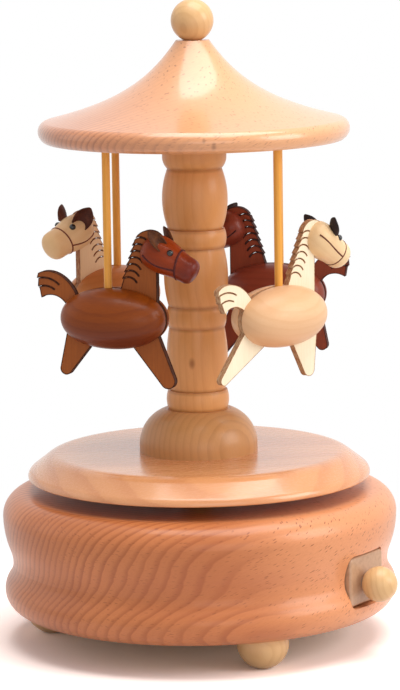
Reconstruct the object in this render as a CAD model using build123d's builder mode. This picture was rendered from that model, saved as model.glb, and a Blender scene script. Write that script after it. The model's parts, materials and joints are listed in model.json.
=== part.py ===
"""Wooden carousel music box, wound by turning its platform.

Millimetres, +Z up. The origin is on the table under the middle of the turned base, and the side with
the switch plate on its right is seen from -Y. A spring movement hangs from the ceiling of the base. Its
winding arbor carries the platform, the column, the canopy and four horses that hang on rods.
"""

import os
from dataclasses import dataclass
from math import asin, atan2, cos, degrees, hypot, pi, radians, sin

from build123d import *

os.makedirs("parts", exist_ok=True)

# ------------------------------------------------------------------ fits
running_clearance = 0.05  # radial, shaft in its bearing
glue_clearance = 0.02  # radial, glued or pressed pin in its hole
seat_clearance = 0.1  # around a plate let into its recess

# ------------------------------------------------------------------ turned base
foot_height = 9.2  # underside of the base above the table
base_height = 34.8
base_wall = 17.5  # from the cavity to the upper bulge
lower_bulge_inset = 0.2  # both bulges and the waist are measured from the upper bulge
waist_depth = 2.7
waist_height = 13.8  # above the underside
bottom_round = 6.2  # quarter round below the lower bulge
crown_round = 6.8  # quarter round above the upper bulge
upper_waist_round = 12.0
lower_waist_round = 6.2
cavity_clearance = 1.25  # around the widest reach of the movement
ceiling_thickness = 5.0
arbor_hole_radius = 4.5

cover_ledge = 8.0  # wider than the cavity
cover_thickness = 3.0
cover_screw_count = 3
cover_screw_turn = -2.0
cover_screw_radius = 0.9
cover_screw_head_radius = 1.8
cover_screw_length = 9.0
sound_hole_radius = 7.0

foot_radius = 7.4
foot_flat_depth = 0.2  # flat worn where the ball meets the table
foot_set = 4.6  # outside the cavity
foot_names = ("foot_right", "foot_rear", "foot_left")
first_foot_angle = -67.2
foot_dowel_radius = 2.0
foot_dowel_length = 10.0

# ------------------------------------------------------------------ switch
switch_angle = -34.0
switch_height = 22.0
plate_width = 17.6
plate_height = 14.2
plate_thickness = 2.8
plate_proud = 1.2  # how far its face stands out of the waist
plate_corner = 1.6
plate_shift = (1.5, 0.9)  # its middle from the stem, along its width and up
plate_edge_round = 0.7
pocket_margin = 0.5
knob_radius = 5.1
knob_gap = 0.1  # between the ball and the plate when pushed in
knob_hole_depth = 4.0
stem_radius = 1.5
stem_bore_radius = 2.0  # loose hole through the wall of the base
stem_reach = 1.0  # how far the stem reaches into the cavity
stop_wire_radius = 0.4
stop_wire_seat = 2.5
stop_wire_bend = 1.5
stop_wire_gap = 4.5  # from its hooked end to the fan's axis, inwards
stop_wire_offset = 2.4  # how far its line passes beside the fan's axis

# ------------------------------------------------------------------ platform and drive
platform_gap = 4.1
platform_thickness = 7.0
platform_inset = 7.6  # inside the upper bulge
platform_bevel = 7.0
platform_lip = 1.6
platform_rounds = (0.35, 2.4, 6.0)  # from the lower edge up
hub_flange_radius = 11.0
hub_flange_thickness = 1.6
hub_boss_radius = 4.0
hub_boss_clearance = 1.0  # above the base
hub_screw_count = 3
hub_screw_circle = 7.5
hub_screw_radius = 0.9
hub_screw_head_radius = 1.7
hub_screw_length = 4.5
screw_head_height = 0.9

arbor_radius = 1.5
arbor_collar_radius = 3.2
arbor_collar_height = 2.0
arbor_tail = 1.0  # below the spring housing

# ------------------------------------------------------------------ column, canopy, finial
column_foot_radius = 17.2
column_foot_side = 2.1
column_foot_height = 12.5
column_foot_top_radius = 9.7
# Turned sections from the bottom up: height, radius at the ends, radius at the middle
column_sections = (
    (5.6, 8.6, 9.1),
    (18.4, 8.0, 8.9),
    (6.1, 8.2, 8.7),
    (17.2, 8.1, 9.3),
    (5.3, 8.5, 9.0),
    (17.5, 7.9, 9.5),
)
column_collar_height = 8.3
column_collar_neck = 7.9
column_collar_radius = 9.3
column_collar_flare = 3.4
dowel_radius = 4.0
dowel_foot_depth = 3.4
dowel_head_depth = 9.0

canopy_inset = 5.0  # the canopy's rim inside the platform's
canopy_under_inset = 1.7
canopy_shoulder_inset = 1.9
canopy_rim_height = 3.0
canopy_shoulder_height = 5.8
canopy_height = 28.6
canopy_apex_radius = 4.8
canopy_skirt_angle = 14.0
canopy_skirt_handle = 22.0
canopy_peak_angle = 55.0
canopy_peak_handle = 14.0
finial_radius = 6.15
finial_sink = 0.55  # how far the ball sits below the tip of the canopy
finial_pin_radius = 1.6
finial_pin_length = 6.0

# ------------------------------------------------------------------ horses
rod_radius = 1.15
rod_inset = 10.8  # inside the canopy's rim
rod_first_angle = 43.1
rod_free_length = 39.4  # between the canopy and the horse's back
rod_seat = 5.0
rod_countersink = 0.5
horse_body_length = 31.4
horse_body_height = 17.4
horse_body_fullness = 0.6  # Bezier handle; 0.55 would be an ellipse
horse_rod_offset = 1.8  # the rod stands this far behind the middle of the body
board_thickness = 1.8
board_inset = 0.3  # the board's outline inside the body sides'
leg_top_radius = 4.4
crest_radius = 4.6
crest_centre = (11.1, 20.7)
mane_base = (1.8, 6.5)
neck_front = 13.2
neck_front_top = 20.0
kerf = 0.36  # width of the sawn slits
mane_slit_count = 7
mane_slit_first = 11.2
mane_slit_pitch = 1.9
mane_step = 0.4
head_length = 17.6
head_radius = 5.1
head_muzzle_radius = 3.8
head_tilt = 28.0
head_rear = (9.2, 21.2)
ear_base = (5.5, 2.9, 3.5)  # along the head, above its axis, to the side
ear_length = 5.4
ear_radius = 1.9
ear_tip_radius = 0.25
ear_scoop = 0.75
ear_lean = (-0.55, 0.75, 0.35)
ear_sink = 1.0
eye_place = (8.9, 2.8, 3.8)
eye_radius = 0.95

# ------------------------------------------------------------------ movement
bedplate_thickness = 2.2
bedplate_bridge = 3.8  # beyond the window for the cylinder
bedplate_width = 36.5
bedplate_back = 17.0  # from the arbor to its rear edge
bedplate_corner = 3.0
bedplate_wall_gap = 0.6
window_margin = 0.5
movement_screw_radius = 1.0
movement_screw_head_radius = 1.8
movement_screw_length = 3.5  # in the wood
movement_screw_places = ((-13.5, -14.5), (-13.5, 14.5), (33.0, 12.0))

crown_teeth = 48
pinion_teeth = 12
crown_outer_radius = 14.0
crown_face_width = 1.6
crown_disc_thickness = 1.6
crown_disc_gap = 0.6  # below the bedplate
crown_tooth_height = 1.0
tooth_share = 0.38  # tooth thickness over pitch, at the pitch line
addendum_share = 0.75  # of the module
dedendum_share = 1.1
tip_share = 0.22
root_share = 0.5

spring_housing_radius = 11.8
spring_housing_wall = 1.0
spring_housing_height = 12.2
spring_housing_gap = 0.4  # below the crown teeth
spring_ear_width = 5.0
spring_ear_thickness = 1.5
spring_post_radius = 2.0
spring_post_circle = 16.6
spring_strip = 0.35
spring_height = 10.0
spring_first_radius = 2.6
spring_turn_pitch = 1.1
spring_turns = 6

cylinder_start = 16.2
cylinder_length = 15.5
cylinder_radius = 6.4
cylinder_wall = 0.9
cylinder_cap = 1.2
cylinder_axle_radius = 0.75
axle_gap = 0.3  # between its inner end and the spring housing
track_count = 18
track_pitch = 0.82
pins_per_track = 5
pin_radius = 0.2
pin_height = 0.5
pin_root = 0.3
pin_track_turn = 137.5  # spreads the pins over the tune
bearing_thickness = 1.0
bearing_gap = 0.6
bearing_half_width = 2.6
cylinder_wheel_teeth = 36
fine_module = 0.4
wheel_thickness = 1.0
spigot_length = 1.0

comb_tip_gap = 0.15
comb_thickness = 1.0
comb_reed_length = 6.5
comb_root_length = 4.5
comb_slot = 0.22
comb_screw_radius = 0.8
comb_screw_head_radius = 1.5
comb_screw_length = 4.0
comb_screw_spacing = 9.0

governor_pinion_teeth = 9
mesh_angle = 240.0  # where the governor pinion sits round the cylinder wheel
mesh_clearance = 0.05
worm_wheel_teeth = 20
worm_module = 0.5
worm_wheel_gap = 0.8  # beyond the cylinder wheel
worm_wheel_thickness = 0.8
worm_wheel_addendum = 0.3
worm_wheel_dedendum = 0.4
worm_body_radius = 1.1
worm_eccentricity = 0.28
worm_clearance = 0.1
worm_pitches = 4
worm_shaft_radius = 0.45
fan_radius = 3.2
fan_blade = 0.4
fan_height = 2.6
fan_hub_radius = 0.9
fan_arm_gap = 0.4
fan_blade_turn = -53.5
frame_thickness = 1.0
frame_cheek_width = 3.0
frame_cheek_thickness = 0.8
frame_bar_drop = 0.7  # below the worm wheel
arm_margin = 1.8
governor_screw_radius = 0.6
governor_screw_head_radius = 1.2
governor_screw_length = 1.8

# ------------------------------------------------------------------ levels worked out from the sizes
base_top = foot_height + base_height
ceiling = base_top - ceiling_thickness
cover_top = foot_height + cover_thickness
platform_bottom = base_top + platform_gap
platform_top = platform_bottom + platform_thickness
column_bottom = platform_top + column_foot_height
column_top = column_bottom + sum(section[0] for section in column_sections) + column_collar_height
canopy_under = column_top
canopy_tip = canopy_under + canopy_height
horse_back = canopy_under - rod_free_length
horse_half_length = horse_body_length / 2
horse_half_height = horse_body_height / 2
horse_middle = horse_back - horse_half_height

bedplate_under = ceiling - bedplate_thickness
crown_disc_top = bedplate_under - crown_disc_gap
crown_disc_under = crown_disc_top - crown_disc_thickness
crown_tooth_tip = crown_disc_under - crown_tooth_height
crown_mean_radius = crown_outer_radius - crown_face_width / 2
crown_module = 2 * crown_mean_radius / crown_teeth
cylinder_pinion_radius = crown_module * pinion_teeth / 2
cylinder_height = (crown_disc_under + crown_tooth_tip) / 2 - cylinder_pinion_radius
spring_housing_top = crown_tooth_tip - spring_housing_gap
spring_housing_bottom = spring_housing_top - spring_housing_height
cylinder_end = cylinder_start + cylinder_length
cylinder_wheel_radius = fine_module * cylinder_wheel_teeth / 2
cylinder_wheel_end = cylinder_end + wheel_thickness
governor_pinion_radius = fine_module * governor_pinion_teeth / 2
worm_wheel_start = cylinder_wheel_end + worm_wheel_gap
worm_wheel_end = worm_wheel_start + worm_wheel_thickness
worm_wheel_radius = worm_module * worm_wheel_teeth / 2
outer_bearing = worm_wheel_end + bearing_gap
window_end = cylinder_wheel_end + window_margin
bedplate_length = bedplate_back + window_end + bedplate_bridge
inner_bearing = cylinder_start - bearing_gap - bearing_thickness + 0.2
mesh_distance = cylinder_wheel_radius + governor_pinion_radius + mesh_clearance
governor_side = mesh_distance * cos(radians(mesh_angle))
governor_height = cylinder_height + mesh_distance * sin(radians(mesh_angle))
worm_u = (worm_wheel_start + worm_wheel_end) / 2
worm_v = governor_side - worm_wheel_radius - worm_body_radius - worm_clearance
worm_pitch = pi * worm_module
worm_half_length = worm_pitch * worm_pitches / 2
worm_distance = hypot(worm_u, worm_v)
stop_wire_inner = worm_distance - stop_wire_gap

cavity_radius = worm_distance + fan_radius + cavity_clearance
upper_bulge_radius = cavity_radius + base_wall
lower_bulge_radius = upper_bulge_radius - lower_bulge_inset
waist_radius = upper_bulge_radius - waist_depth
cover_radius = cavity_radius + cover_ledge
cover_screw_circle = cavity_radius + cover_ledge / 2
foot_circle = cavity_radius + foot_set
plate_face = waist_radius + plate_proud
pocket_floor = plate_face - plate_thickness
knob_distance = plate_face + knob_gap + knob_radius
platform_radius = upper_bulge_radius - platform_inset
platform_top_radius = platform_radius - platform_bevel
canopy_rim_radius = platform_radius - canopy_inset
canopy_under_radius = canopy_rim_radius - canopy_under_inset
canopy_shoulder_radius = canopy_rim_radius - canopy_shoulder_inset
rod_circle = canopy_rim_radius - rod_inset

# The movement is turned so that the stop wire passes just beside the fan
stop_line_angle = degrees(atan2(worm_v, worm_u)) - degrees(asin(stop_wire_offset / worm_distance))
movement_angle = switch_angle - stop_line_angle


def direction(angle):
    """Horizontal unit vector at an angle from +X."""
    return Vector(cos(radians(angle)), sin(radians(angle)), 0)


def around(radius, angle, height=0.0):
    """Point on a circle about the vertical axis."""
    return direction(angle) * radius + Vector(0, 0, height)


movement = Plane(origin=(0, 0, 0), x_dir=direction(movement_angle), z_dir=(0, 0, 1))
switch_plane = Plane(
    origin=(0, 0, switch_height), x_dir=direction(switch_angle + 90), z_dir=direction(switch_angle)
)


def across(u, height=0.0):
    """Plane square to the cylinder at u; its x is sideways and its y is up."""
    origin = movement.from_local_coords((u, 0, height))
    return Plane(origin=origin, x_dir=direction(movement_angle + 90), z_dir=direction(movement_angle))


def inflection(bulge, waist, waist_round):
    """Point where the arc of a waist hands over to the arc of a bulge, both upright at their ends."""
    step_r = bulge[0] - waist[0]
    step_z = bulge[1] - waist[1]
    share = waist_round * 2 * step_r / (step_r**2 + step_z**2)
    return waist[0] + share * step_r, waist[1] + share * step_z


def keep(piece, label):
    """Label a finished piece and write it as its own file."""
    piece.part.label = label
    export_step(piece.part, f"parts/{label}.step")


def screws(places, heights, radius, head_radius, label):
    """Round-headed screws that point up, one solid each. heights: underside of head, seat, tip."""
    head_under, seat, tip = heights
    with BuildPart() as group:
        for place in places:
            with BuildSketch(Plane(origin=(place.X, place.Y, head_under))):
                Circle(head_radius)
            extrude(amount=seat - head_under)
            with BuildSketch(Plane(origin=(place.X, place.Y, head_under))):
                Circle(radius)
            extrude(amount=tip - head_under)
            with BuildSketch(Plane(origin=(place.X, place.Y, head_under))):
                Rectangle(head_radius * 1.6, head_radius * 0.28)
            extrude(amount=(seat - head_under) * 0.5, mode=Mode.SUBTRACT)
    keep(group, label)


def bores(places, bottom, radius, depth):
    """Cut upright round holes in the open part."""
    with Locations(*[(place.X, place.Y, bottom) for place in places]):
        Cylinder(radius, depth, align=(Align.CENTER, Align.CENTER, Align.MIN), mode=Mode.SUBTRACT)


def gear_teeth(teeth, radius, module, tooth_turn=0.0, addendum=None, dedendum=None):
    """Spur gear outline in the open sketch, about its origin."""
    tip = radius + (addendum or addendum_share * module)
    root = radius - (dedendum or dedendum_share * module)
    pitch = pi * module
    tooth = (
        (root * 0.9, -root_share * pitch / 2),
        (root, -root_share * pitch / 2),
        (radius, -tooth_share * pitch / 2),
        (tip, -tip_share * pitch / 2),
        (tip, tip_share * pitch / 2),
        (radius, tooth_share * pitch / 2),
        (root, root_share * pitch / 2),
        (root * 0.9, root_share * pitch / 2),
    )
    Circle(root)
    with PolarLocations(0, teeth, start_angle=tooth_turn):
        Polygon(*tooth, align=None)


foot_angles = [first_foot_angle + 120 * index for index in range(len(foot_names))]
foot_places = [around(foot_circle, angle) for angle in foot_angles]
cover_screw_places = [
    around(cover_screw_circle, cover_screw_turn + 360 / cover_screw_count * index)
    for index in range(cover_screw_count)
]
movement_screw_points = [movement.from_local_coords((u, v, 0)) for u, v in movement_screw_places]
hub_screw_places = [around(hub_screw_circle, 120 * index) for index in range(hub_screw_count)]

# ================================================================== base, stands still

with BuildPart() as base_housing:
    lower_edge = (lower_bulge_radius - bottom_round, foot_height)
    lower_bulge = (lower_bulge_radius, foot_height + bottom_round)
    waist = (waist_radius, foot_height + waist_height)
    upper_bulge = (upper_bulge_radius, base_top - crown_round)
    crown_edge = (upper_bulge_radius - crown_round, base_top)
    lower_turn = inflection(lower_bulge, waist, lower_waist_round)
    upper_turn = inflection(upper_bulge, waist, upper_waist_round)
    with BuildSketch(Plane.XZ):
        with BuildLine():
            Line((0, foot_height), lower_edge)
            TangentArc(lower_bulge, lower_edge, tangent=(0, -1))
            TangentArc(lower_bulge, lower_turn, tangent=(0, 1))
            TangentArc(waist, lower_turn, tangent=(0, -1))
            TangentArc(waist, upper_turn, tangent=(0, 1))
            TangentArc(upper_bulge, upper_turn, tangent=(0, -1))
            TangentArc(upper_bulge, crown_edge, tangent=(0, 1))
            Line(crown_edge, (0, base_top))
            Line((0, base_top), (0, foot_height))
        make_face()
    revolve(axis=Axis.Z)
    with BuildSketch(Plane.XY.offset(foot_height)):
        Circle(cover_radius + seat_clearance)
    extrude(amount=cover_thickness, mode=Mode.SUBTRACT)
    with BuildSketch(Plane.XY.offset(foot_height)):
        Circle(cavity_radius)
    extrude(amount=base_height - ceiling_thickness, mode=Mode.SUBTRACT)
    with BuildSketch(Plane.XY.offset(ceiling)):
        Circle(arbor_hole_radius)
    extrude(amount=ceiling_thickness, mode=Mode.SUBTRACT)
    bores(foot_places, foot_height, foot_dowel_radius + glue_clearance, foot_dowel_length)
    bores(cover_screw_places, foot_height, cover_screw_radius + glue_clearance, cover_screw_length)
    bores(movement_screw_points, ceiling, movement_screw_radius + glue_clearance, movement_screw_length)
    with BuildSketch(switch_plane.offset(pocket_floor)):
        with Locations(plate_shift):
            RectangleRounded(
                plate_width + 2 * pocket_margin,
                plate_height + 2 * pocket_margin,
                plate_corner + pocket_margin,
            )
    extrude(amount=upper_bulge_radius, mode=Mode.SUBTRACT)
    with BuildSketch(switch_plane.offset(cavity_radius * 0.9)):
        Circle(stem_bore_radius)
    extrude(amount=pocket_floor, mode=Mode.SUBTRACT)
keep(base_housing, "base_housing")

with BuildPart() as bottom_cover:
    with BuildSketch(Plane.XY.offset(foot_height)):
        Circle(cover_radius)
        Circle(sound_hole_radius, mode=Mode.SUBTRACT)
    extrude(amount=cover_thickness)
    bores(foot_places, foot_height, foot_dowel_radius + glue_clearance, cover_thickness)
    bores(cover_screw_places, foot_height, cover_screw_radius + glue_clearance, cover_thickness)
    bores(cover_screw_places, foot_height, cover_screw_head_radius + seat_clearance, screw_head_height)
keep(bottom_cover, "bottom_cover")

screws(
    cover_screw_places,
    (foot_height, foot_height + screw_head_height, foot_height + cover_screw_length),
    cover_screw_radius,
    cover_screw_head_radius,
    "cover_screws",
)

for foot_name, place in zip(foot_names, foot_places):
    with BuildPart() as ball_foot:
        with Locations((place.X, place.Y, foot_radius - foot_flat_depth)):
            Sphere(foot_radius)
        split(bisect_by=Plane.XY.offset(foot_height), keep=Keep.BOTTOM)
        split(bisect_by=Plane.XY, keep=Keep.TOP)
        with BuildSketch(Plane(origin=(place.X, place.Y, foot_height))):
            Circle(foot_dowel_radius)
        extrude(amount=foot_dowel_length)
    keep(ball_foot, foot_name)

# ================================================================== switch

with BuildPart() as switch_plate:
    with BuildSketch(switch_plane.offset(pocket_floor)):
        with Locations(plate_shift):
            RectangleRounded(plate_width, plate_height, plate_corner)
    extrude(amount=plate_thickness)
    front_face = switch_plate.faces().sort_by(Axis((0, 0, 0), switch_plane.z_dir))[-1]
    fillet(front_face.edges(), plate_edge_round)
    with BuildSketch(switch_plane.offset(pocket_floor)):
        Circle(stem_radius + running_clearance)
    extrude(amount=plate_thickness, mode=Mode.SUBTRACT)
keep(switch_plate, "switch_plate")

stem_inner = cavity_radius - stem_reach
stem_outer = knob_distance - knob_radius + knob_hole_depth

with BuildPart() as switch_knob:
    with Locations(switch_plane.offset(knob_distance)):
        Sphere(knob_radius)
    with BuildSketch(switch_plane.offset(knob_distance - knob_radius)):
        Circle(stem_radius + glue_clearance)
    extrude(amount=knob_hole_depth, mode=Mode.SUBTRACT)
keep(switch_knob, "switch_knob")

with BuildPart() as switch_stem:
    with BuildSketch(switch_plane.offset(stem_inner)):
        Circle(stem_radius)
    extrude(amount=stem_outer - stem_inner)
    with BuildSketch(switch_plane.offset(stem_inner)):
        Circle(stop_wire_radius + glue_clearance)
    extrude(amount=stop_wire_seat, mode=Mode.SUBTRACT)
keep(switch_stem, "switch_stem")

fan_bottom = cover_top + frame_thickness * 2
fan_top = fan_bottom + fan_height

with BuildPart() as stop_wire:
    wire_start = around(stem_inner + stop_wire_seat, switch_angle, switch_height)
    wire_corner = around(stop_wire_inner, switch_angle, switch_height)
    wire_end = around(stop_wire_inner, switch_angle, fan_bottom + fan_height / 4)
    with BuildLine():
        FilletPolyline(wire_start, wire_corner, wire_end, radius=stop_wire_bend)
    with BuildSketch(Plane(origin=wire_start, z_dir=-direction(switch_angle))):
        Circle(stop_wire_radius)
    sweep()
keep(stop_wire, "stop_wire")

# ================================================================== movement, fixed pieces

comb_start = cylinder_radius + pin_height + comb_tip_gap
comb_root = comb_start + comb_reed_length
comb_end = comb_root + comb_root_length
comb_width = track_count * track_pitch
comb_middle = (cylinder_start + cylinder_end) / 2
comb_top = cylinder_height + comb_thickness / 2
comb_screw_v = comb_root + comb_root_length / 2
comb_screw_points = [
    movement.from_local_coords((comb_middle + side * comb_screw_spacing / 2, comb_screw_v, 0))
    for side in (-1, 1)
]
wheel_tip = cylinder_wheel_radius + addendum_share * fine_module
window_half = wheel_tip + window_margin
spring_post_points = [
    movement.from_local_coords((0, side * spring_post_circle, 0)) for side in (-1, 1)
]
arm_far = worm_v - arm_margin
arm_near = worm_u - arm_margin / 2
frame_end = outer_bearing + frame_thickness
flange_screw_point = movement.from_local_coords(((arm_near + frame_end) / 2, worm_v, 0))

with BuildPart() as bedplate:
    with BuildSketch(movement.offset(bedplate_under)):
        with Locations((bedplate_length / 2 - bedplate_back, 0)):
            RectangleRounded(bedplate_length, bedplate_width, bedplate_corner)
        Circle(cavity_radius - bedplate_wall_gap, mode=Mode.INTERSECT)
        Circle(arbor_radius + running_clearance, mode=Mode.SUBTRACT)
        window_start = cylinder_start - window_margin / 2
        with Locations(((window_start + window_end) / 2, 0)):
            Rectangle(window_end - window_start, 2 * window_half, mode=Mode.SUBTRACT)
    extrude(amount=bedplate_thickness)
    bores(movement_screw_points, bedplate_under, movement_screw_radius + glue_clearance, bedplate_thickness)
    bores([flange_screw_point], bedplate_under, governor_screw_radius + glue_clearance, bedplate_thickness)
    # Cast boss that the comb is screwed to
    with BuildSketch(movement.offset(comb_top)):
        with Locations((comb_middle, comb_screw_v)):
            Rectangle(comb_width, comb_root_length)
    extrude(amount=bedplate_under - comb_top)
    bores(comb_screw_points, comb_top, comb_screw_radius + glue_clearance, comb_screw_length)
    # Cast bearings of the cylinder
    for bearing in (inner_bearing, outer_bearing):
        with BuildSketch(across(bearing, cylinder_height)):
            rise = bedplate_under - cylinder_height
            with Locations((0, rise / 2)):
                Rectangle(2 * bearing_half_width, rise)
            Circle(bearing_half_width)
            Circle(cylinder_axle_radius + running_clearance, mode=Mode.SUBTRACT)
        extrude(amount=bearing_thickness)
keep(bedplate, "movement_bedplate")

screws(
    movement_screw_points,
    (bedplate_under - screw_head_height, bedplate_under, ceiling + movement_screw_length),
    movement_screw_radius,
    movement_screw_head_radius,
    "movement_screws",
)

with BuildPart() as comb:
    with BuildSketch(movement.offset(cylinder_height - comb_thickness / 2)):
        with Locations((comb_middle, (comb_start + comb_end) / 2)):
            Rectangle(comb_width, comb_end - comb_start)
        with Locations((comb_middle, comb_start + comb_reed_length / 2)):
            with GridLocations(track_pitch, 1, track_count - 1, 1):
                Rectangle(comb_slot, comb_reed_length, mode=Mode.SUBTRACT)
    extrude(amount=comb_thickness)
    comb_under = cylinder_height - comb_thickness / 2
    bores(comb_screw_points, comb_under, comb_screw_radius + glue_clearance, comb_thickness)
keep(comb, "comb")

screws(
    comb_screw_points,
    (comb_under - screw_head_height, comb_under, comb_top + comb_screw_length),
    comb_screw_radius,
    comb_screw_head_radius,
    "comb_screws",
)

with BuildPart() as spring_housing:
    with BuildSketch(movement.offset(spring_housing_bottom)):
        Circle(spring_housing_radius)
    extrude(amount=spring_housing_height)
    with BuildSketch(movement.offset(spring_housing_bottom + spring_housing_wall)):
        Circle(spring_housing_radius - spring_housing_wall)
    extrude(amount=spring_housing_height, mode=Mode.SUBTRACT)
    with BuildSketch(movement.offset(spring_housing_top - spring_ear_thickness)):
        Rectangle(spring_ear_width, 2 * spring_post_circle)
        with Locations((0, spring_post_circle), (0, -spring_post_circle)):
            Circle(spring_ear_width / 2)
        Circle(spring_housing_radius - spring_housing_wall, mode=Mode.SUBTRACT)
    extrude(amount=spring_ear_thickness)
    with BuildSketch(movement.offset(spring_housing_top)):
        with Locations((0, spring_post_circle), (0, -spring_post_circle)):
            Circle(spring_post_radius)
    extrude(amount=bedplate_under - spring_housing_top)
    with BuildSketch(movement.offset(spring_housing_bottom)):
        Circle(arbor_radius + running_clearance)
    extrude(amount=spring_housing_wall, mode=Mode.SUBTRACT)
keep(spring_housing, "spring_housing")

with BuildPart() as mainspring:
    with BuildSketch(movement.offset(spring_housing_bottom + spring_housing_wall)):
        with BuildLine():
            # A spiral of half turns, each a quarter of the turn pitch wider and moved sideways to match
            start_x = spring_first_radius
            for half_turn in range(2 * spring_turns):
                side = 1 if half_turn % 2 == 0 else -1
                arc_radius = spring_first_radius + spring_turn_pitch / 4 * (2 * half_turn + 1)
                end_x = start_x - side * 2 * arc_radius
                middle_x = (start_x + end_x) / 2
                ThreePointArc((start_x, 0), (middle_x, side * arc_radius), (end_x, 0))
                start_x = end_x
        trace(line_width=spring_strip)
    extrude(amount=spring_height)
keep(mainspring, "mainspring")

# ------------------------------------------------------------------ governor frame
worm_low = governor_height - worm_half_length
worm_high = governor_height + worm_half_length
upper_arm = governor_height + worm_wheel_radius + worm_wheel_addendum + fan_arm_gap
lower_arm = fan_bottom - fan_arm_gap - frame_thickness * 0.8
bar_top = governor_height - worm_wheel_radius - worm_wheel_addendum - frame_bar_drop
cheek_start = cylinder_end - frame_cheek_thickness - bearing_gap
plate_near = governor_side + bearing_half_width * 0.5
plate_far = governor_side - bearing_half_width

with BuildPart() as governor_frame:
    # End plate, hung from the bedplate
    with BuildSketch(movement.offset(lower_arm)):
        with Locations(((outer_bearing + frame_end) / 2, (plate_near + plate_far) / 2)):
            Rectangle(frame_thickness, plate_near - plate_far)
    extrude(amount=bedplate_under - lower_arm)
    # Arms that hold the worm's ends, and the flange under the bedplate
    for level, thickness in (
        (lower_arm, frame_thickness * 0.8),
        (upper_arm, frame_thickness),
        (bedplate_under - frame_thickness, frame_thickness),
    ):
        with BuildSketch(movement.offset(level)):
            with Locations(((arm_near + frame_end) / 2, (arm_far + plate_near) / 2)):
                Rectangle(frame_end - arm_near, plate_near - arm_far)
        extrude(amount=thickness)
    # Bar and cheek that carry the inner end of the governor shaft
    with BuildSketch(movement.offset(bar_top - frame_thickness)):
        with Locations(((cheek_start + frame_end) / 2, governor_side)):
            Rectangle(frame_end - cheek_start, frame_cheek_width)
    extrude(amount=frame_thickness)
    with BuildSketch(across(cheek_start, governor_height)):
        cheek_drop = governor_height - bar_top + frame_thickness
        with Locations((governor_side, -cheek_drop / 2)):
            Rectangle(frame_cheek_width, cheek_drop)
        with Locations((governor_side, 0)):
            Circle(frame_cheek_width / 2)
    extrude(amount=frame_cheek_thickness)
    # Bearing holes
    with BuildSketch(across(cheek_start, governor_height)):
        with Locations((governor_side, 0)):
            Circle(cylinder_axle_radius + running_clearance)
    extrude(amount=frame_end - cheek_start, mode=Mode.SUBTRACT)
    with BuildSketch(movement.offset(lower_arm)):
        with Locations((worm_u, worm_v)):
            Circle(worm_shaft_radius + running_clearance)
    extrude(amount=upper_arm + frame_thickness - lower_arm, mode=Mode.SUBTRACT)
    flange_under = bedplate_under - frame_thickness
    bores([flange_screw_point], flange_under, governor_screw_radius + glue_clearance, frame_thickness)
keep(governor_frame, "governor_frame")

screws(
    [flange_screw_point],
    (flange_under - screw_head_height, flange_under, bedplate_under + governor_screw_length),
    governor_screw_radius,
    governor_screw_head_radius,
    "governor_screw",
)

# ================================================================== cylinder, turns about its own axis

with BuildPart() as cylinder:
    with BuildSketch(across(cylinder_start, cylinder_height)):
        Circle(cylinder_radius)
    extrude(amount=cylinder_length)
    with BuildSketch(across(cylinder_start + cylinder_cap, cylinder_height)):
        Circle(cylinder_radius - cylinder_wall)
    extrude(amount=cylinder_length, mode=Mode.SUBTRACT)
    with BuildSketch(across(cylinder_start, cylinder_height)):
        Circle(cylinder_axle_radius + glue_clearance)
    extrude(amount=cylinder_cap, mode=Mode.SUBTRACT)
    for track in range(track_count):
        track_u = comb_middle + (track - (track_count - 1) / 2) * track_pitch
        track_plane = across(track_u, cylinder_height)
        for pin in range(pins_per_track):
            pin_angle = pin_track_turn * track + 360 / pins_per_track * pin
            outward = track_plane.x_dir * cos(radians(pin_angle)) + Vector(0, 0, sin(radians(pin_angle)))
            foot = track_plane.origin + outward * (cylinder_radius - pin_root)
            with BuildSketch(Plane(origin=foot, z_dir=outward)):
                Circle(pin_radius)
            extrude(amount=pin_root + pin_height)
keep(cylinder, "pinned_cylinder")

crown_gap_turn = 90 + 180 / pinion_teeth  # a tooth space points up at the crown wheel

with BuildPart() as cylinder_arbor:
    axle_start = spring_housing_radius + axle_gap
    with BuildSketch(across(axle_start, cylinder_height)):
        Circle(cylinder_axle_radius)
    extrude(amount=outer_bearing + bearing_thickness - axle_start)
    with BuildSketch(across(crown_outer_radius - crown_face_width - 0.1, cylinder_height)):
        gear_teeth(pinion_teeth, cylinder_pinion_radius, crown_module, crown_gap_turn)
    extrude(amount=crown_face_width + 0.3)
    with BuildSketch(across(cylinder_end - spigot_length, cylinder_height)):
        Circle(cylinder_radius - cylinder_wall - glue_clearance)
    extrude(amount=spigot_length)
    with BuildSketch(across(cylinder_end, cylinder_height)):
        gear_teeth(cylinder_wheel_teeth, cylinder_wheel_radius, fine_module, mesh_angle)
    extrude(amount=wheel_thickness)
keep(cylinder_arbor, "cylinder_arbor")

# ================================================================== governor, turning pieces

with BuildPart() as governor_wheel:
    with BuildSketch(across(cheek_start, governor_height)):
        with Locations((governor_side, 0)):
            Circle(cylinder_axle_radius)
    extrude(amount=frame_end - cheek_start)
    with BuildSketch(across(cylinder_end - 0.2, governor_height)):
        with Locations((governor_side, 0)):
            gear_teeth(
                governor_pinion_teeth,
                governor_pinion_radius,
                fine_module,
                mesh_angle + 180 + 180 / governor_pinion_teeth,
            )
    extrude(amount=wheel_thickness + 0.4)
    with BuildSketch(across(worm_wheel_start, governor_height)):
        with Locations((governor_side, 0)):
            gear_teeth(
                worm_wheel_teeth,
                worm_wheel_radius,
                worm_module,
                180,
                worm_wheel_addendum,
                worm_wheel_dedendum,
            )
    extrude(amount=worm_wheel_thickness)
keep(governor_wheel, "governor_wheel")

# The worm is an eccentric round bar with a twist of one turn a pitch: a single rounded right-hand thread
with BuildSketch(movement.offset(worm_low)) as worm_section:
    with Locations((worm_u, worm_v - worm_eccentricity)):
        Circle(worm_body_radius)

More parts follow.
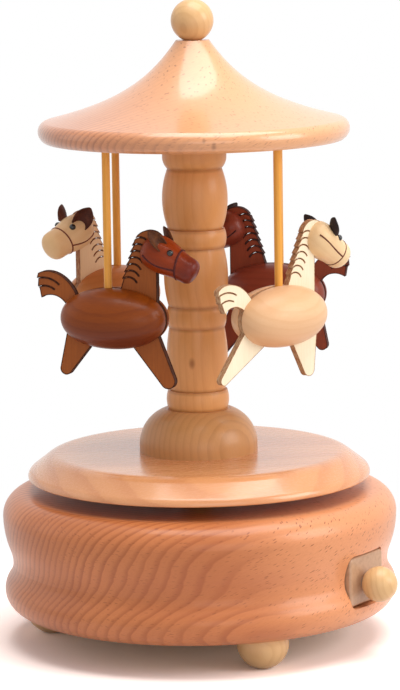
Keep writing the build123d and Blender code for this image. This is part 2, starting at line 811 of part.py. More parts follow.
with BuildPart() as governor_fan:
    add(
        Solid.extrude_linear_with_rotation(
            worm_section.sketch.face(),
            movement.from_local_coords((worm_u, worm_v, worm_low)),
            (0, 0, 2 * worm_half_length),
            360 * worm_pitches,
        )
    )
    with BuildSketch(movement.offset(lower_arm)):
        with Locations((worm_u, worm_v)):
            Circle(worm_shaft_radius)
    extrude(amount=upper_arm + frame_thickness - lower_arm)
    with BuildSketch(movement.offset(fan_bottom)):
        with Locations((worm_u, worm_v)):
            Circle(fan_hub_radius)
        with Locations(Location((worm_u, worm_v, 0), (0, 0, fan_blade_turn))):
            Rectangle(2 * fan_radius, fan_blade)
    extrude(amount=fan_height)
keep(governor_fan, "governor_fan")

# ================================================================== turntable

hub_boss_bottom = base_top + hub_boss_clearance
hub_flange_top = platform_bottom + hub_flange_thickness

with BuildPart() as winding_arbor:
    arbor_bottom = spring_housing_bottom - arbor_tail
    with BuildSketch(Plane.XY.offset(arbor_bottom)):
        Circle(arbor_radius)
    extrude(amount=hub_flange_top - arbor_bottom)
    with BuildSketch(Plane.XY.offset(ceiling + running_clearance)):
        Circle(arbor_collar_radius)
    extrude(amount=arbor_collar_height)
keep(winding_arbor, "winding_arbor")

crown_pitch = pi * crown_module

with BuildPart() as crown_tooth:
    with BuildSketch(across(crown_outer_radius - crown_face_width, crown_disc_under)):
        Polygon(
            (-root_share * crown_pitch / 2, crown_disc_thickness / 2),
            (-root_share * crown_pitch / 2, 0),
            (-tip_share * crown_pitch / 2, -crown_tooth_height),
            (tip_share * crown_pitch / 2, -crown_tooth_height),
            (root_share * crown_pitch / 2, 0),
            (root_share * crown_pitch / 2, crown_disc_thickness / 2),
            align=None,
        )
    extrude(amount=crown_face_width)

with BuildPart() as great_wheel:
    with BuildSketch(Plane.XY.offset(crown_disc_under)):
        Circle(crown_outer_radius)
    extrude(amount=crown_disc_thickness)
    with PolarLocations(0, crown_teeth):
        add(crown_tooth.part)
    with BuildSketch(Plane.XY.offset(crown_tooth_tip)):
        Circle(arbor_radius + glue_clearance)
    extrude(amount=crown_tooth_height + crown_disc_thickness, mode=Mode.SUBTRACT)
keep(great_wheel, "great_wheel")

with BuildPart() as drive_hub:
    with BuildSketch(Plane.XY.offset(platform_bottom)):
        Circle(hub_flange_radius)
    extrude(amount=hub_flange_thickness)
    with BuildSketch(Plane.XY.offset(hub_boss_bottom)):
        Circle(hub_boss_radius)
    extrude(amount=platform_bottom - hub_boss_bottom)
    with BuildSketch(Plane.XY.offset(hub_boss_bottom)):
        Circle(arbor_radius + glue_clearance)
    extrude(amount=hub_flange_top - hub_boss_bottom, mode=Mode.SUBTRACT)
    bores(hub_screw_places, platform_bottom, hub_screw_radius + glue_clearance, hub_flange_thickness)
keep(drive_hub, "drive_hub")

screws(
    hub_screw_places,
    (platform_bottom - screw_head_height, platform_bottom, platform_bottom + hub_screw_length),
    hub_screw_radius,
    hub_screw_head_radius,
    "hub_screws",
)

with BuildPart() as platform:
    with BuildSketch(Plane.XZ):
        with BuildLine():
            FilletPolyline(
                (0, platform_bottom),
                (platform_radius, platform_bottom),
                (platform_radius, platform_bottom + platform_lip),
                (platform_top_radius, platform_top),
                (0, platform_top),
                radius=platform_rounds,
            )
            Line((0, platform_top), (0, platform_bottom))
        make_face()
    revolve(axis=Axis.Z)
    with BuildSketch(Plane.XY.offset(platform_bottom)):
        Circle(hub_flange_radius + seat_clearance)
    extrude(amount=hub_flange_thickness, mode=Mode.SUBTRACT)
    bores(hub_screw_places, platform_bottom, hub_screw_radius + glue_clearance, hub_screw_length)
    with BuildSketch(Plane.XY.offset(platform_top - dowel_foot_depth)):
        Circle(dowel_radius + glue_clearance)
    extrude(amount=dowel_foot_depth, mode=Mode.SUBTRACT)
keep(platform, "platform")

with BuildPart() as column_foot:
    with BuildSketch(Plane.XZ):
        with BuildLine():
            side_top = (column_foot_radius, platform_top + column_foot_side)
            crown = (column_foot_top_radius, column_bottom)
            inner_top = (dowel_radius + glue_clearance, column_bottom)
            inner_bottom = (dowel_radius + glue_clearance, platform_top)
            Line((column_foot_radius, platform_top), side_top)
            TangentArc(side_top, crown, tangent=(0, 1))
            Polyline(crown, inner_top, inner_bottom, (column_foot_radius, platform_top))
        make_face()
    revolve(axis=Axis.Z)
keep(column_foot, "column_foot")

with BuildPart() as column:
    with BuildSketch(Plane.XZ):
        with BuildLine():
            level = column_bottom
            outline_start = (column_sections[0][1], level)
            last = (dowel_radius + glue_clearance, level)
            for height, end_radius, middle_radius in column_sections:
                if last != (end_radius, level):
                    Line(last, (end_radius, level))
                middle = (middle_radius, level + height / 2)
                ThreePointArc((end_radius, level), middle, (end_radius, level + height))
                level += height
                last = (end_radius, level)
            neck = (column_collar_neck, level)
            collar = (column_collar_radius, level + column_collar_flare)
            if last != neck:
                Line(last, neck)
            TangentArc(collar, neck, tangent=(0, -1))
            Polyline(
                collar,
                (column_collar_radius, column_top),
                (dowel_radius + glue_clearance, column_top),
                (dowel_radius + glue_clearance, column_bottom),
            )
        make_face()
    revolve(axis=Axis.Z)
keep(column, "column")

with BuildPart() as column_dowel:
    with BuildSketch(Plane.XY.offset(platform_top - dowel_foot_depth)):
        Circle(dowel_radius)
    extrude(amount=dowel_foot_depth + column_top - platform_top + dowel_head_depth)
keep(column_dowel, "column_dowel")

rod_angles = [rod_first_angle + 90 * index for index in range(4)]
rod_places = [around(rod_circle, angle) for angle in rod_angles]

with BuildPart() as canopy:
    under_edge = (canopy_under_radius, canopy_under)
    rim = (canopy_rim_radius, canopy_under + canopy_rim_height)
    shoulder = (canopy_shoulder_radius, canopy_under + canopy_shoulder_height)
    apex = (canopy_apex_radius, canopy_tip)
    skirt = (
        shoulder[0] - canopy_skirt_handle * cos(radians(canopy_skirt_angle)),
        shoulder[1] + canopy_skirt_handle * sin(radians(canopy_skirt_angle)),
    )
    peak = (
        apex[0] + canopy_peak_handle * cos(radians(canopy_peak_angle)),
        apex[1] - canopy_peak_handle * sin(radians(canopy_peak_angle)),
    )
    with BuildSketch(Plane.XZ):
        with BuildLine():
            Line((0, canopy_under), under_edge)
            TangentArc(rim, under_edge, tangent=(0, -1))
            TangentArc(rim, shoulder, tangent=(0, 1))
            Bezier(shoulder, skirt, peak, apex)
            Polyline(apex, (0, canopy_tip), (0, canopy_under))
        make_face()
    revolve(axis=Axis.Z)
    with BuildSketch(Plane.XY.offset(canopy_under)):
        Circle(dowel_radius + glue_clearance)
    extrude(amount=dowel_head_depth, mode=Mode.SUBTRACT)
    bores(rod_places, canopy_under, rod_radius + glue_clearance, rod_seat)
    for place in rod_places:
        with Locations((place.X, place.Y, canopy_under)):
            Cone(
                rod_radius + glue_clearance + rod_countersink,
                rod_radius + glue_clearance,
                rod_countersink,
                align=(Align.CENTER, Align.CENTER, Align.MIN),
                mode=Mode.SUBTRACT,
            )
    finial_middle = canopy_tip - finial_sink + finial_radius
    with Locations((0, 0, finial_middle)):
        Sphere(finial_radius + glue_clearance, mode=Mode.SUBTRACT)
    pin_bottom = finial_middle - finial_radius - finial_pin_length
    pin_hole_depth = finial_pin_length + finial_pin_radius
    bores([Vector(0, 0)], pin_bottom, finial_pin_radius + glue_clearance, pin_hole_depth)
keep(canopy, "canopy")

with BuildPart() as finial:
    with Locations((0, 0, finial_middle)):
        Sphere(finial_radius)
    with BuildSketch(Plane.XY.offset(pin_bottom)):
        Circle(finial_pin_radius)
    extrude(amount=finial_pin_length + finial_radius)
keep(finial, "finial")


# ================================================================== horses


@dataclass(frozen=True)
class Horse:
    """One horse: its rod, heading in degrees from +X, where its feet reach, and how its own cut differs."""

    name: str
    rod_angle: float
    heading: float
    hind_foot: tuple
    front_foot: tuple
    hind_radius: float = 1.6
    front_radius: float = 2.0
    front_thigh: float = leg_top_radius
    rod_offset: float = horse_rod_offset
    crest_shift: tuple = (0.0, 0.0)
    tail_drop: float = 0.0
    head_rear: tuple = head_rear
    head_tilt: float = head_tilt
    head_length: float = head_length
    muzzle_radius: float = head_muzzle_radius

    @property
    def plane(self):
        """Middle plane of the profile board: x forward, y up, z to the horse's right."""
        rod = around(rod_circle, self.rod_angle, horse_middle)
        forward = direction(self.heading)
        origin = rod + forward * self.rod_offset
        return Plane(origin=origin, x_dir=forward, z_dir=direction(self.heading - 90))

    @property
    def crest(self):
        """Middle of the round top of the neck."""
        return crest_centre[0] + self.crest_shift[0], crest_centre[1] + self.crest_shift[1]

    @property
    def neck(self):
        """Corners of the neck below its round top."""
        front = ((neck_front, neck_front_top), (neck_front, 0))
        return mane_base, self.mane_edge(self.crest[1]), self.crest, *front

    def mane_edge(self, height):
        """Point of the mane's straight rear edge at a height above the middle of the body."""
        slope = (self.crest[0] - crest_radius - mane_base[0]) / (self.crest[1] - mane_base[1])
        return mane_base[0] + slope * (height - mane_base[1]), height

    def swung(self, points):
        """Points of the tail, turned down about its root."""
        turn = radians(self.tail_drop)
        return [
            (
                tail_root[0] + (x - tail_root[0]) * cos(turn) - (y - tail_root[1]) * sin(turn),
                tail_root[1] + (x - tail_root[0]) * sin(turn) + (y - tail_root[1]) * cos(turn),
            )
            for x, y in points
        ]


horses = (
    Horse(
        "brown_horse", rod_first_angle + 180, -20.0, (-14.7, -14.9), (16.1, -17.4),
        hind_radius=1.7, front_radius=2.1,
    ),
    Horse(
        "cream_horse", rod_first_angle + 270, 43.0, (-22.6, -15.8), (10.8, -16.4),
        hind_radius=1.3, front_thigh=5.6, rod_offset=0.2, crest_shift=(2.0, 0.9), tail_drop=12.0,
        head_rear=(11.6, 23.2), head_tilt=34.0, head_length=16.9, muzzle_radius=4.1,
    ),
    Horse("dark_horse", rod_first_angle, 163.0, (-14.7, -15.2), (16.4, -17.2)),
    Horse(
        "pale_horse", rod_first_angle + 90, 221.0, (-14.6, -14.8), (16.4, -16.6),
        crest_shift=(0.3, 0.8), head_rear=(9.0, 22.0), head_tilt=22.0, head_length=16.6, muzzle_radius=4.3,
    ),
)  # fmt: skip

hind_hip = (-9.6, -4.2)
front_shoulder = (8.4, -4.0)
tail_root = (-11.0, 3.0)
tail_top = ((-10.6, 4.6), (-13.8, 10.1), (-16.8, 12.2), (-20.0, 12.9), (-22.7, 12.2))
tail_edge = ((-22.7, 12.2), (-23.1, 10.8), (-22.6, 10.7), (-22.8, 8.3), (-22.3, 8.2), (-21.8, 5.4))
tail_under = ((-21.8, 5.4), (-18.6, 6.2), (-14.2, 3.4))
tail_slits = (
    ((-23.6, 10.6), (-20.5, 11.0), (-16.4, 9.1)),
    ((-23.3, 8.1), (-20.5, 8.7), (-17.8, 7.7)),
)


def body_outline(half_length, half_height):
    """Upper half of a body side's outline, closed along the axis of the egg."""
    reach = horse_body_fullness
    Bezier(
        (-half_length, 0),
        (-half_length, reach * half_height),
        (-reach * half_length, half_height),
        (0, half_height),
    )
    Bezier(
        (0, half_height),
        (reach * half_length, half_height),
        (half_length, reach * half_height),
        (half_length, 0),
    )
    Line((half_length, 0), (-half_length, 0))


def slit(points):
    """Cut one sawn arc in the open sketch."""
    with BuildLine(mode=Mode.PRIVATE) as line:
        ThreePointArc(*points)
    trace(line.line, line_width=kerf, mode=Mode.SUBTRACT)


def cut_rod_hole(rod_place):
    """Cut the rod's blind hole down into a horse's back in the open part."""
    bores([rod_place], horse_back - rod_seat, rod_radius + glue_clearance, 2 * rod_seat)


def profile_board(horse):
    """Sawn board: tail, neck with its cut mane, and two legs, with the part that the sides cover."""
    with BuildPart() as board:
        with BuildSketch(horse.plane.offset(-board_thickness / 2)):
            with BuildLine():
                body_outline(horse_half_length - board_inset, horse_half_height - board_inset)
            upper = make_face()
            mirror(upper, about=Plane.XZ)
            for top, thigh, foot, foot_size in (
                (hind_hip, leg_top_radius, horse.hind_foot, horse.hind_radius),
                (front_shoulder, horse.front_thigh, horse.front_foot, horse.front_radius),
            ):
                with BuildSketch(mode=Mode.PRIVATE) as leg:
                    with Locations(top):
                        Circle(thigh)
                    with Locations(foot):
                        Circle(foot_size)
                    make_hull(leg.edges())
                add(leg.sketch)
            with BuildLine():
                upper_edge = Spline(*horse.swung(tail_top))
                Polyline(*horse.swung(tail_edge))
                under_edge_arc = ThreePointArc(*horse.swung(tail_under))
                Line(under_edge_arc @ 1, upper_edge @ 0)
            make_face()
            lock_heights = [mane_slit_first + mane_slit_pitch * index for index in range(mane_slit_count)]
            locks = [horse.mane_edge(height) for height in lock_heights]
            Polygon(*horse.neck, align=None)
            with Locations(horse.crest):
                Circle(crest_radius)
            for lower, upper_lock in zip(locks[:-1], locks[1:]):
                lock_tip = (lower[0] - mane_step, lower[1] + kerf)
                Polygon(lower, lock_tip, upper_lock, (lower[0] + 1, lower[1]), align=None)
            for x, y in locks:
                slit(((x - 0.8, y - 0.3), (x + 1.6, y + 0.75), (x + 3.9, y - 0.8)))
            for points in tail_slits:
                slit(horse.swung(points))
        extrude(amount=board_thickness)
        cut_rod_hole(around(rod_circle, horse.rod_angle))
    return board


def body_side(horse, sign):
    """Half egg glued on one face of the board; sign +1 is the horse's right."""
    plane = horse.plane.offset(sign * board_thickness / 2)
    with BuildPart() as side:
        with BuildSketch(plane):
            with BuildLine():
                body_outline(horse_half_length, horse_half_height)
            make_face()
        revolve(axis=Axis(plane.origin, plane.x_dir))
        split(bisect_by=plane, keep=Keep.TOP if sign > 0 else Keep.BOTTOM)
        cut_rod_hole(around(rod_circle, horse.rod_angle))
    return side


def head_frame(horse):
    """Plane at the rear tip of the head: x along the egg's axis, y square to it, z to the right."""
    plane = horse.plane
    origin = plane.from_local_coords((horse.head_rear[0], horse.head_rear[1], 0))
    tilt = radians(horse.head_tilt)
    along = plane.x_dir * cos(tilt) - plane.y_dir * sin(tilt)
    return Plane(origin=origin, x_dir=along, z_dir=plane.z_dir)


def head(horse):
    """Egg head with a slot that straddles the top of the board."""
    frame = head_frame(horse)
    with BuildPart() as egg:
        with BuildSketch(frame):
            with BuildLine():
                Spline(
                    (0, 0),
                    (0.38 * horse.head_length, head_radius),
                    (horse.head_length - horse.muzzle_radius, horse.muzzle_radius),
                    (horse.head_length, 0),
                    tangents=((0, 1), (0, -1)),
                )
                Line((horse.head_length, 0), (0, 0))
            make_face()
        revolve(axis=Axis(frame.origin, frame.x_dir))
        with BuildSketch(horse.plane.offset(-board_thickness / 2)):
            Polygon(*horse.neck, align=None)
            with Locations(horse.crest):
                Circle(crest_radius)
        extrude(amount=board_thickness, mode=Mode.SUBTRACT)
    return egg


def ears(horse, egg):
    """Two rolled leather ears, open to the front and seated on the head."""
    frame = head_frame(horse)
    plane = horse.plane
    with BuildPart() as pair:
        for sign in (-1, 1):
            root = frame.from_local_coords((ear_base[0], ear_base[1], sign * ear_base[2]))
            back, rise, out = ear_lean
            lean = (plane.x_dir * back + plane.y_dir * rise + plane.z_dir * (sign * out)).normalized()
            ear_plane = Plane(origin=root - lean * ear_sink, x_dir=plane.z_dir, z_dir=lean)
            opening = ear_plane.to_local_coords(root + plane.x_dir) - ear_plane.to_local_coords(root)
            opening = Vector(opening.X, opening.Y, 0).normalized() * ear_scoop
            with Locations(ear_plane):
                Cone(ear_radius, ear_tip_radius, ear_length, align=(Align.CENTER, Align.CENTER, Align.MIN))
            with Locations(Plane(ear_plane.from_local_coords(opening), ear_plane.x_dir, ear_plane.z_dir)):
                Cone(
                    ear_radius,
                    ear_tip_radius,
                    ear_length,
                    align=(Align.CENTER, Align.CENTER, Align.MIN),
                    mode=Mode.SUBTRACT,
                )
        add(egg.part, mode=Mode.SUBTRACT)
    return pair


def eyes(horse, egg):
    """Two bead eyes, sunk in the sides of the head."""
    frame = head_frame(horse)
    with BuildPart() as beads:
        for sign in (-1, 1):
            place = frame.from_local_coords((eye_place[0], eye_place[1], sign * eye_place[2]))
            with Locations(place):
                Sphere(eye_radius)
        add(egg.part, mode=Mode.SUBTRACT)
    return beads


for horse in horses:
    board = profile_board(horse)
    keep(board, f"{horse.name}_board")
    keep(body_side(horse, -1), f"{horse.name}_left_side")
    keep(body_side(horse, 1), f"{horse.name}_right_side")
    egg = head(horse)
    keep(egg, f"{horse.name}_head")
    keep(ears(horse, egg), f"{horse.name}_ears")
    keep(eyes(horse, egg), f"{horse.name}_eyes")

with BuildPart() as hanging_rods:
    for place in rod_places:
        with BuildSketch(Plane(origin=(place.X, place.Y, horse_back - rod_seat))):
            Circle(rod_radius)
        extrude(amount=rod_seat + rod_free_length + rod_seat)
keep(hanging_rods, "hanging_rods")
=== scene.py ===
"""Dresses the wooden carousel music box: finishes, fine pieces, light and camera.

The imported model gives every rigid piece. This script gives each of them its finish and adds what is too
fine for the solids: the scorched lines along the sawn boards, the bridle lines and leather ears of the
horses, their bead eyes, and wood screws with threads.
Lengths in the classes are millimetres in the model's own frame; meshes are written in metres.
"""

from __future__ import annotations

import json
import logging
import math
from dataclasses import dataclass, field
from enum import Enum
from typing import Any, Callable, Iterable, Sequence

import bmesh
import bpy
from mathutils import Matrix, Vector

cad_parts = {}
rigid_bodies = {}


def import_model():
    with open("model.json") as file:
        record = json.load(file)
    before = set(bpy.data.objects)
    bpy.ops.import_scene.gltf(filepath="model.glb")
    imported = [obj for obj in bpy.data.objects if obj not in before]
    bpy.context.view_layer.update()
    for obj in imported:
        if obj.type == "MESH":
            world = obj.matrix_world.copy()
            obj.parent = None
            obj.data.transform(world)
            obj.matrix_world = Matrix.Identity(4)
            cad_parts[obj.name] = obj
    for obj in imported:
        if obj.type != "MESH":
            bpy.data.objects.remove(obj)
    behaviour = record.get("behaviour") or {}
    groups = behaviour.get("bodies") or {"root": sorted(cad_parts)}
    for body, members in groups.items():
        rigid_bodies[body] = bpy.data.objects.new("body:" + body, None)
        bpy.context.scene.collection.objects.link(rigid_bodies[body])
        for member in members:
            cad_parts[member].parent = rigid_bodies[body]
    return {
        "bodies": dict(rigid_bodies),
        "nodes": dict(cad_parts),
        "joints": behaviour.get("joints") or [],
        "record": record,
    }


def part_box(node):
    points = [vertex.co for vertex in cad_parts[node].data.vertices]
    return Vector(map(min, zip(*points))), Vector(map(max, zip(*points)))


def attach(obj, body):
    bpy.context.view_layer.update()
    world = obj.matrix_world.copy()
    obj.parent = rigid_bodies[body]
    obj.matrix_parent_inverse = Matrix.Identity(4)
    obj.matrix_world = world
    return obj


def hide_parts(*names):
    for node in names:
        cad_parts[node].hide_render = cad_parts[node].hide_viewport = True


LOG = logging.getLogger("carousel")
MM = 0.001
MERGE = 1e-8  # metres; points of a new mesh that lie nearer than this are one point
Colour = tuple[float, float, float]
Point = tuple[float, float, float]


def srgb(red: int, green: int, blue: int) -> Colour:
    """Turns a colour read on a screen into Blender's linear values.

    Args:
        red: Red, 0 to 255.
        green: Green, 0 to 255.
        blue: Blue, 0 to 255.

    Returns:
        The three linear values.
    """

    def linear(value: int) -> float:
        """Undoes the screen's curve for one value."""
        share = value / 255
        return share / 12.92 if share <= 0.04045 else ((share + 0.055) / 1.055) ** 2.4

    return linear(red), linear(green), linear(blue)


# ---------------------------------------------------------------------------------------------- shader maths


@dataclass(frozen=True)
class Grain:
    """Stretched noise: lumps in a millimetre along each axis, octaves, and the finer octaves' weight."""

    fineness: Point
    detail: float = 2.0
    rough: float = 0.5


class Wire:
    """One output of a shader graph, with arithmetic that adds Math nodes."""

    def __init__(self, graph: "Tree", socket: bpy.types.NodeSocket) -> None:
        """Keeps the graph and the socket."""
        self.graph = graph
        self.socket = socket

    def _math(self, operation: str, *values: "Wire | float", clamp: bool = False) -> "Wire":
        """Adds one Math node.

        Args:
            operation: The Math node's operation.
            values: Its inputs, in order.
            clamp: Whether the result is held to 0 to 1.

        Returns:
            The node's value.
        """
        inputs = dict(enumerate(values))
        settings = {"operation": operation, "use_clamp": clamp}
        return self.graph.node("ShaderNodeMath", settings, inputs)

    def __add__(self, other: "Wire | float") -> "Wire":
        """self + other."""
        return self._math("ADD", self, other)

    __radd__ = __add__

    def __sub__(self, other: "Wire | float") -> "Wire":
        """self - other."""
        return self._math("SUBTRACT", self, other)

    def __rsub__(self, other: float) -> "Wire":
        """other - self."""
        return self._math("SUBTRACT", other, self)

    def __mul__(self, other: "Wire | float") -> "Wire":
        """self * other."""
        return self._math("MULTIPLY", self, other)

    __rmul__ = __mul__

    def __truediv__(self, other: "Wire | float") -> "Wire":
        """self / other."""
        return self._math("DIVIDE", self, other)

    def __rtruediv__(self, other: float) -> "Wire":
        """other / self."""
        return self._math("DIVIDE", other, self)

    def __abs__(self) -> "Wire":
        """The size of self."""
        return self._math("ABSOLUTE", self)

    def fract(self) -> "Wire":
        """The part after the point."""
        return self._math("FRACT", self)

    def floor(self) -> "Wire":
        """The whole part."""
        return self._math("FLOOR", self)

    def root(self) -> "Wire":
        """The square root."""
        return self._math("SQRT", self)

    def clamped(self) -> "Wire":
        """Self, held to 0 to 1."""
        return self._math("ADD", self, 0.0, clamp=True)

    def most(self, other: "Wire | float") -> "Wire":
        """The larger of the two."""
        return self._math("MAXIMUM", self, other)

    def step(self, low: float, high: float) -> "Wire":
        """Rises smoothly from 0 to 1 while self goes from low to high.

        Args:
            low: Where the rise starts.
            high: Where it ends.

        Returns:
            The eased value.
        """
        settings = {"interpolation_type": "SMOOTHSTEP", "clamp": True}
        inputs = {"Value": self, "From Min": low, "From Max": high}
        return self.graph.node("ShaderNodeMapRange", settings, inputs)


class Tree:
    """A shader's node tree while it is being written."""

    def __init__(self, tree: bpy.types.NodeTree) -> None:
        """Keeps the tree and empties it."""
        self.tree = tree
        self.tree.nodes.clear()

    def node(
        self,
        kind: str,
        settings: dict[str, Any] | None = None,
        inputs: dict[str | int, Any] | None = None,
        output: str | int = 0,
    ) -> Wire:
        """Adds any node.

        Args:
            kind: Blender's node type.
            settings: Its properties, such as a Math node's operation, set first.
            inputs: Values or wires for its sockets, by name or number.
            output: The socket that is handed back.

        Returns:
            That output.
        """
        made = self.tree.nodes.new(kind)
        for key, value in (settings or {}).items():
            setattr(made, key, value)
        for key, value in (inputs or {}).items():
            self.feed(made.inputs[key], value)
        return Wire(self, made.outputs[output])

    def feed(self, socket: bpy.types.NodeSocket, value: Any) -> None:
        """Links a wire to a socket, or sets a plain value.

        Args:
            socket: The input.
            value: A wire, a number or a tuple.
        """
        if isinstance(value, Wire):
            self.tree.links.new(value.socket, socket)
        elif isinstance(value, tuple) and socket.type == "RGBA":
            socket.default_value = (*value, 1.0)[:4]
        else:
            socket.default_value = value

    def seen(self) -> Wire:
        """Tells the rays that show a surface from those that only light it.

        Returns:
            1 for camera, mirrored and transmitted rays, and 0 for the others.
        """
        camera = self.node("ShaderNodeLightPath", output="Is Camera Ray")
        rays = camera.socket.node.outputs
        return camera.most(Wire(self, rays["Is Glossy Ray"])).most(Wire(self, rays["Is Transmission Ray"]))


class Graph(Tree):
    """A material's node tree, with its output and its main shader."""

    def __init__(self, name: str) -> None:
        """Starts an empty material.

        Args:
            name: The material's name.
        """
        self.material = bpy.data.materials.new(name)
        self.material.use_nodes = True
        super().__init__(self.material.node_tree)
        self.output = self.tree.nodes.new("ShaderNodeOutputMaterial")
        self.shader = self.tree.nodes.new("ShaderNodeBsdfPrincipled")
        self.tree.links.new(self.shader.outputs["BSDF"], self.output.inputs["Surface"])

    def set(self, **values: Any) -> None:
        """Feeds the main shader; an underscore in a name stands for a space."""
        for key, value in values.items():
            self.feed(self.shader.inputs[key.replace("_", " ")], value)

    def place(self, turn: Point = (0, 0, 0), centre: Point = (0, 0, 0)) -> Wire:
        """Object coordinates in millimetres, seen from a turned and moved piece.

        Args:
            turn: The piece's rotation in degrees about X, Y and Z.
            centre: The piece's own origin, in millimetres.

        Returns:
            The coordinates along the piece's own axes.
        """
        coordinates = self.node("ShaderNodeTexCoord", output="Object")
        scaled = self.node(
            "ShaderNodeVectorMath", {"operation": "SCALE"}, {0: coordinates, "Scale": 1 / MM}
        )
        turned = tuple(math.radians(angle) for angle in turn)
        return self.node(
            "ShaderNodeMapping",
            {"vector_type": "TEXTURE"},
            {"Vector": scaled, "Location": centre, "Rotation": turned},
        )

    def split(self, vector: Wire) -> tuple[Wire, Wire, Wire]:
        """The three parts of a vector."""
        first = self.node("ShaderNodeSeparateXYZ", None, {0: vector})
        outputs = first.socket.node.outputs
        return first, Wire(self, outputs[1]), Wire(self, outputs[2])

    def join(self, x: Wire | float, y: Wire | float, z: Wire | float) -> Wire:
        """A vector from its three parts."""
        return self.node("ShaderNodeCombineXYZ", None, {0: x, 1: y, 2: z})

    def stretch(self, parts: Sequence[Wire], fineness: Point) -> Wire:
        """A vector whose three parts are scaled one by one."""
        return self.join(*(part * scale for part, scale in zip(parts, fineness)))

    def grain(self, parts: Sequence[Wire], grain: Grain) -> Wire:
        """Noise around 0.5, stretched along a material's three axes."""
        return self.noise(self.stretch(parts, grain.fineness), 1.0, grain.detail, grain.rough)

    def noise(self, vector: Wire, scale: float, detail: float, rough: float = 0.5) -> Wire:
        """Smooth noise around 0.5.

        Args:
            vector: Where it is read.
            scale: Lumps in a unit.
            detail: Octaves.
            rough: Weight of the finer octaves.

        Returns:
            The value.
        """
        inputs = {"Vector": vector, "Scale": scale, "Detail": detail, "Roughness": rough}
        return self.node("ShaderNodeTexNoise", None, inputs)

    def cells(self, vector: Wire, scale: float = 1.0) -> Wire:
        """Cell noise: the distance to the nearest point."""
        return self.node("ShaderNodeTexVoronoi", None, {"Vector": vector, "Scale": scale}, "Distance")

    def mix(self, share: Wire | float, first: Wire | Colour, second: Wire | Colour) -> Wire:
        """Mixes two colours.

        Args:
            share: How much of the second.
            first: A colour or wire.
            second: A colour or wire.

        Returns:
            The mixed colour.
        """
        first_socket, second_socket, result = 6, 7, 2  # the colour sockets share their names with others
        sockets = {0: share, first_socket: first, second_socket: second}
        return self.node("ShaderNodeMix", {"data_type": "RGBA"}, sockets, result)

    def bump(self, height: Wire, depth_mm: float, strength: float = 1.0) -> Wire:
        """Turns a height of 0 to 1 into a surface normal.

        Args:
            height: The height.
            depth_mm: What a height of 1 is, in millimetres.
            strength: How strongly it shows.

        Returns:
            The normal.
        """
        inputs = {"Height": height, "Distance": depth_mm * MM, "Strength": strength}
        return self.node("ShaderNodeBump", None, inputs)


# ---------------------------------------------------------------------------------------------- finishes

# The figure of turned wood. Ranges are where a value starts and ends to rise; fades are what the flat side
# takes away; floors are what is cut off below; shares are how much of a colour is mixed in.
WARP = Grain((0.014, 0.02, 0.02))
RIPPLE = Grain((0.06, 0.2, 0.2), rough=0.6)
RIPPLE_DEPTH = 1.1
FIBRE = Grain((0.22, 3.0, 3.0), 3.0, 0.65)
FIBRE_FLOOR = 0.42
FIBRE_SHARE = 0.5
FIBRE_ROUGHNESS = 0.1
BROAD = Grain((0.02, 0.05, 0.05))
CLOUD_FLOOR = 0.35
CLOUD_FADE = 0.6
LATE_WOOD_RANGE = (0.35, 0.88)
YEAR_STRIDE = 0.37
RING_CONTRAST = 1.6
RING_LEAST = 0.1
RING_FADE = 0.85
CROWD = Grain((0.3, 0.4, 0.5))
CROWD_RANGE = (0.35, 0.55)
FLECK_RANGE = (0.13, 0.3)
# share of a muzzle's stain, share of the painted shade towards a body's bottom, and how much noise moves both
TIP_STAIN = 0.6
UNDER_SHADE = 0.45
STAIN_AND_SHADE_SWAY = 0.5
LACQUER_ROUGHNESS = 0.14
KNOT_HEIGHT = 1.7
KNOT_RANGE = (0.15, 1.0)
KNOT_SHARE = 0.75
# painted shade in the bottoms of turned grooves: the half-width at full shade, and the shade colour's share
GROOVE_SHADE_FLOOR = 0.1
GROOVE_SHADE_SHARE = 0.42
OUT_OF_REACH = (500.0, 501.0)

# The figure of sawn board, of plywood and of metal's tool lines.
BOARD_FIBRE = Grain((2.4, 2.4, 0.16), 3.0, 0.6)
BOARD_FIBRE_FLOOR = 0.35
BOARD_CLOUD = Grain((0.12, 0.12, 0.06))
BOARD_CLOUD_FLOOR = 0.4
BOARD_SHARE = 0.9
BOARD_FACE_RANGE = (0.35, 0.8)
CHAR = Grain((0.8, 3.0, 0.8), 3.0)
CHAR_RANGE = (0.3, 0.7)
CHAR_SHARE = 0.45
PLY_FIGURE = Grain((0.035, 0.5, 0.5), 4.0, 0.6)
PLY_PORES = Grain((0.6, 6.0, 2.0), rough=0.6)
PLY_LAYERS_IN_FIGURE = 9.0
GLUE_RANGE = (0.42, 0.49)
GLUE_SHARE = 0.8
TOOL_LINE_DETAIL = 3.0
TOOL_LINE_ROUGH = 0.7


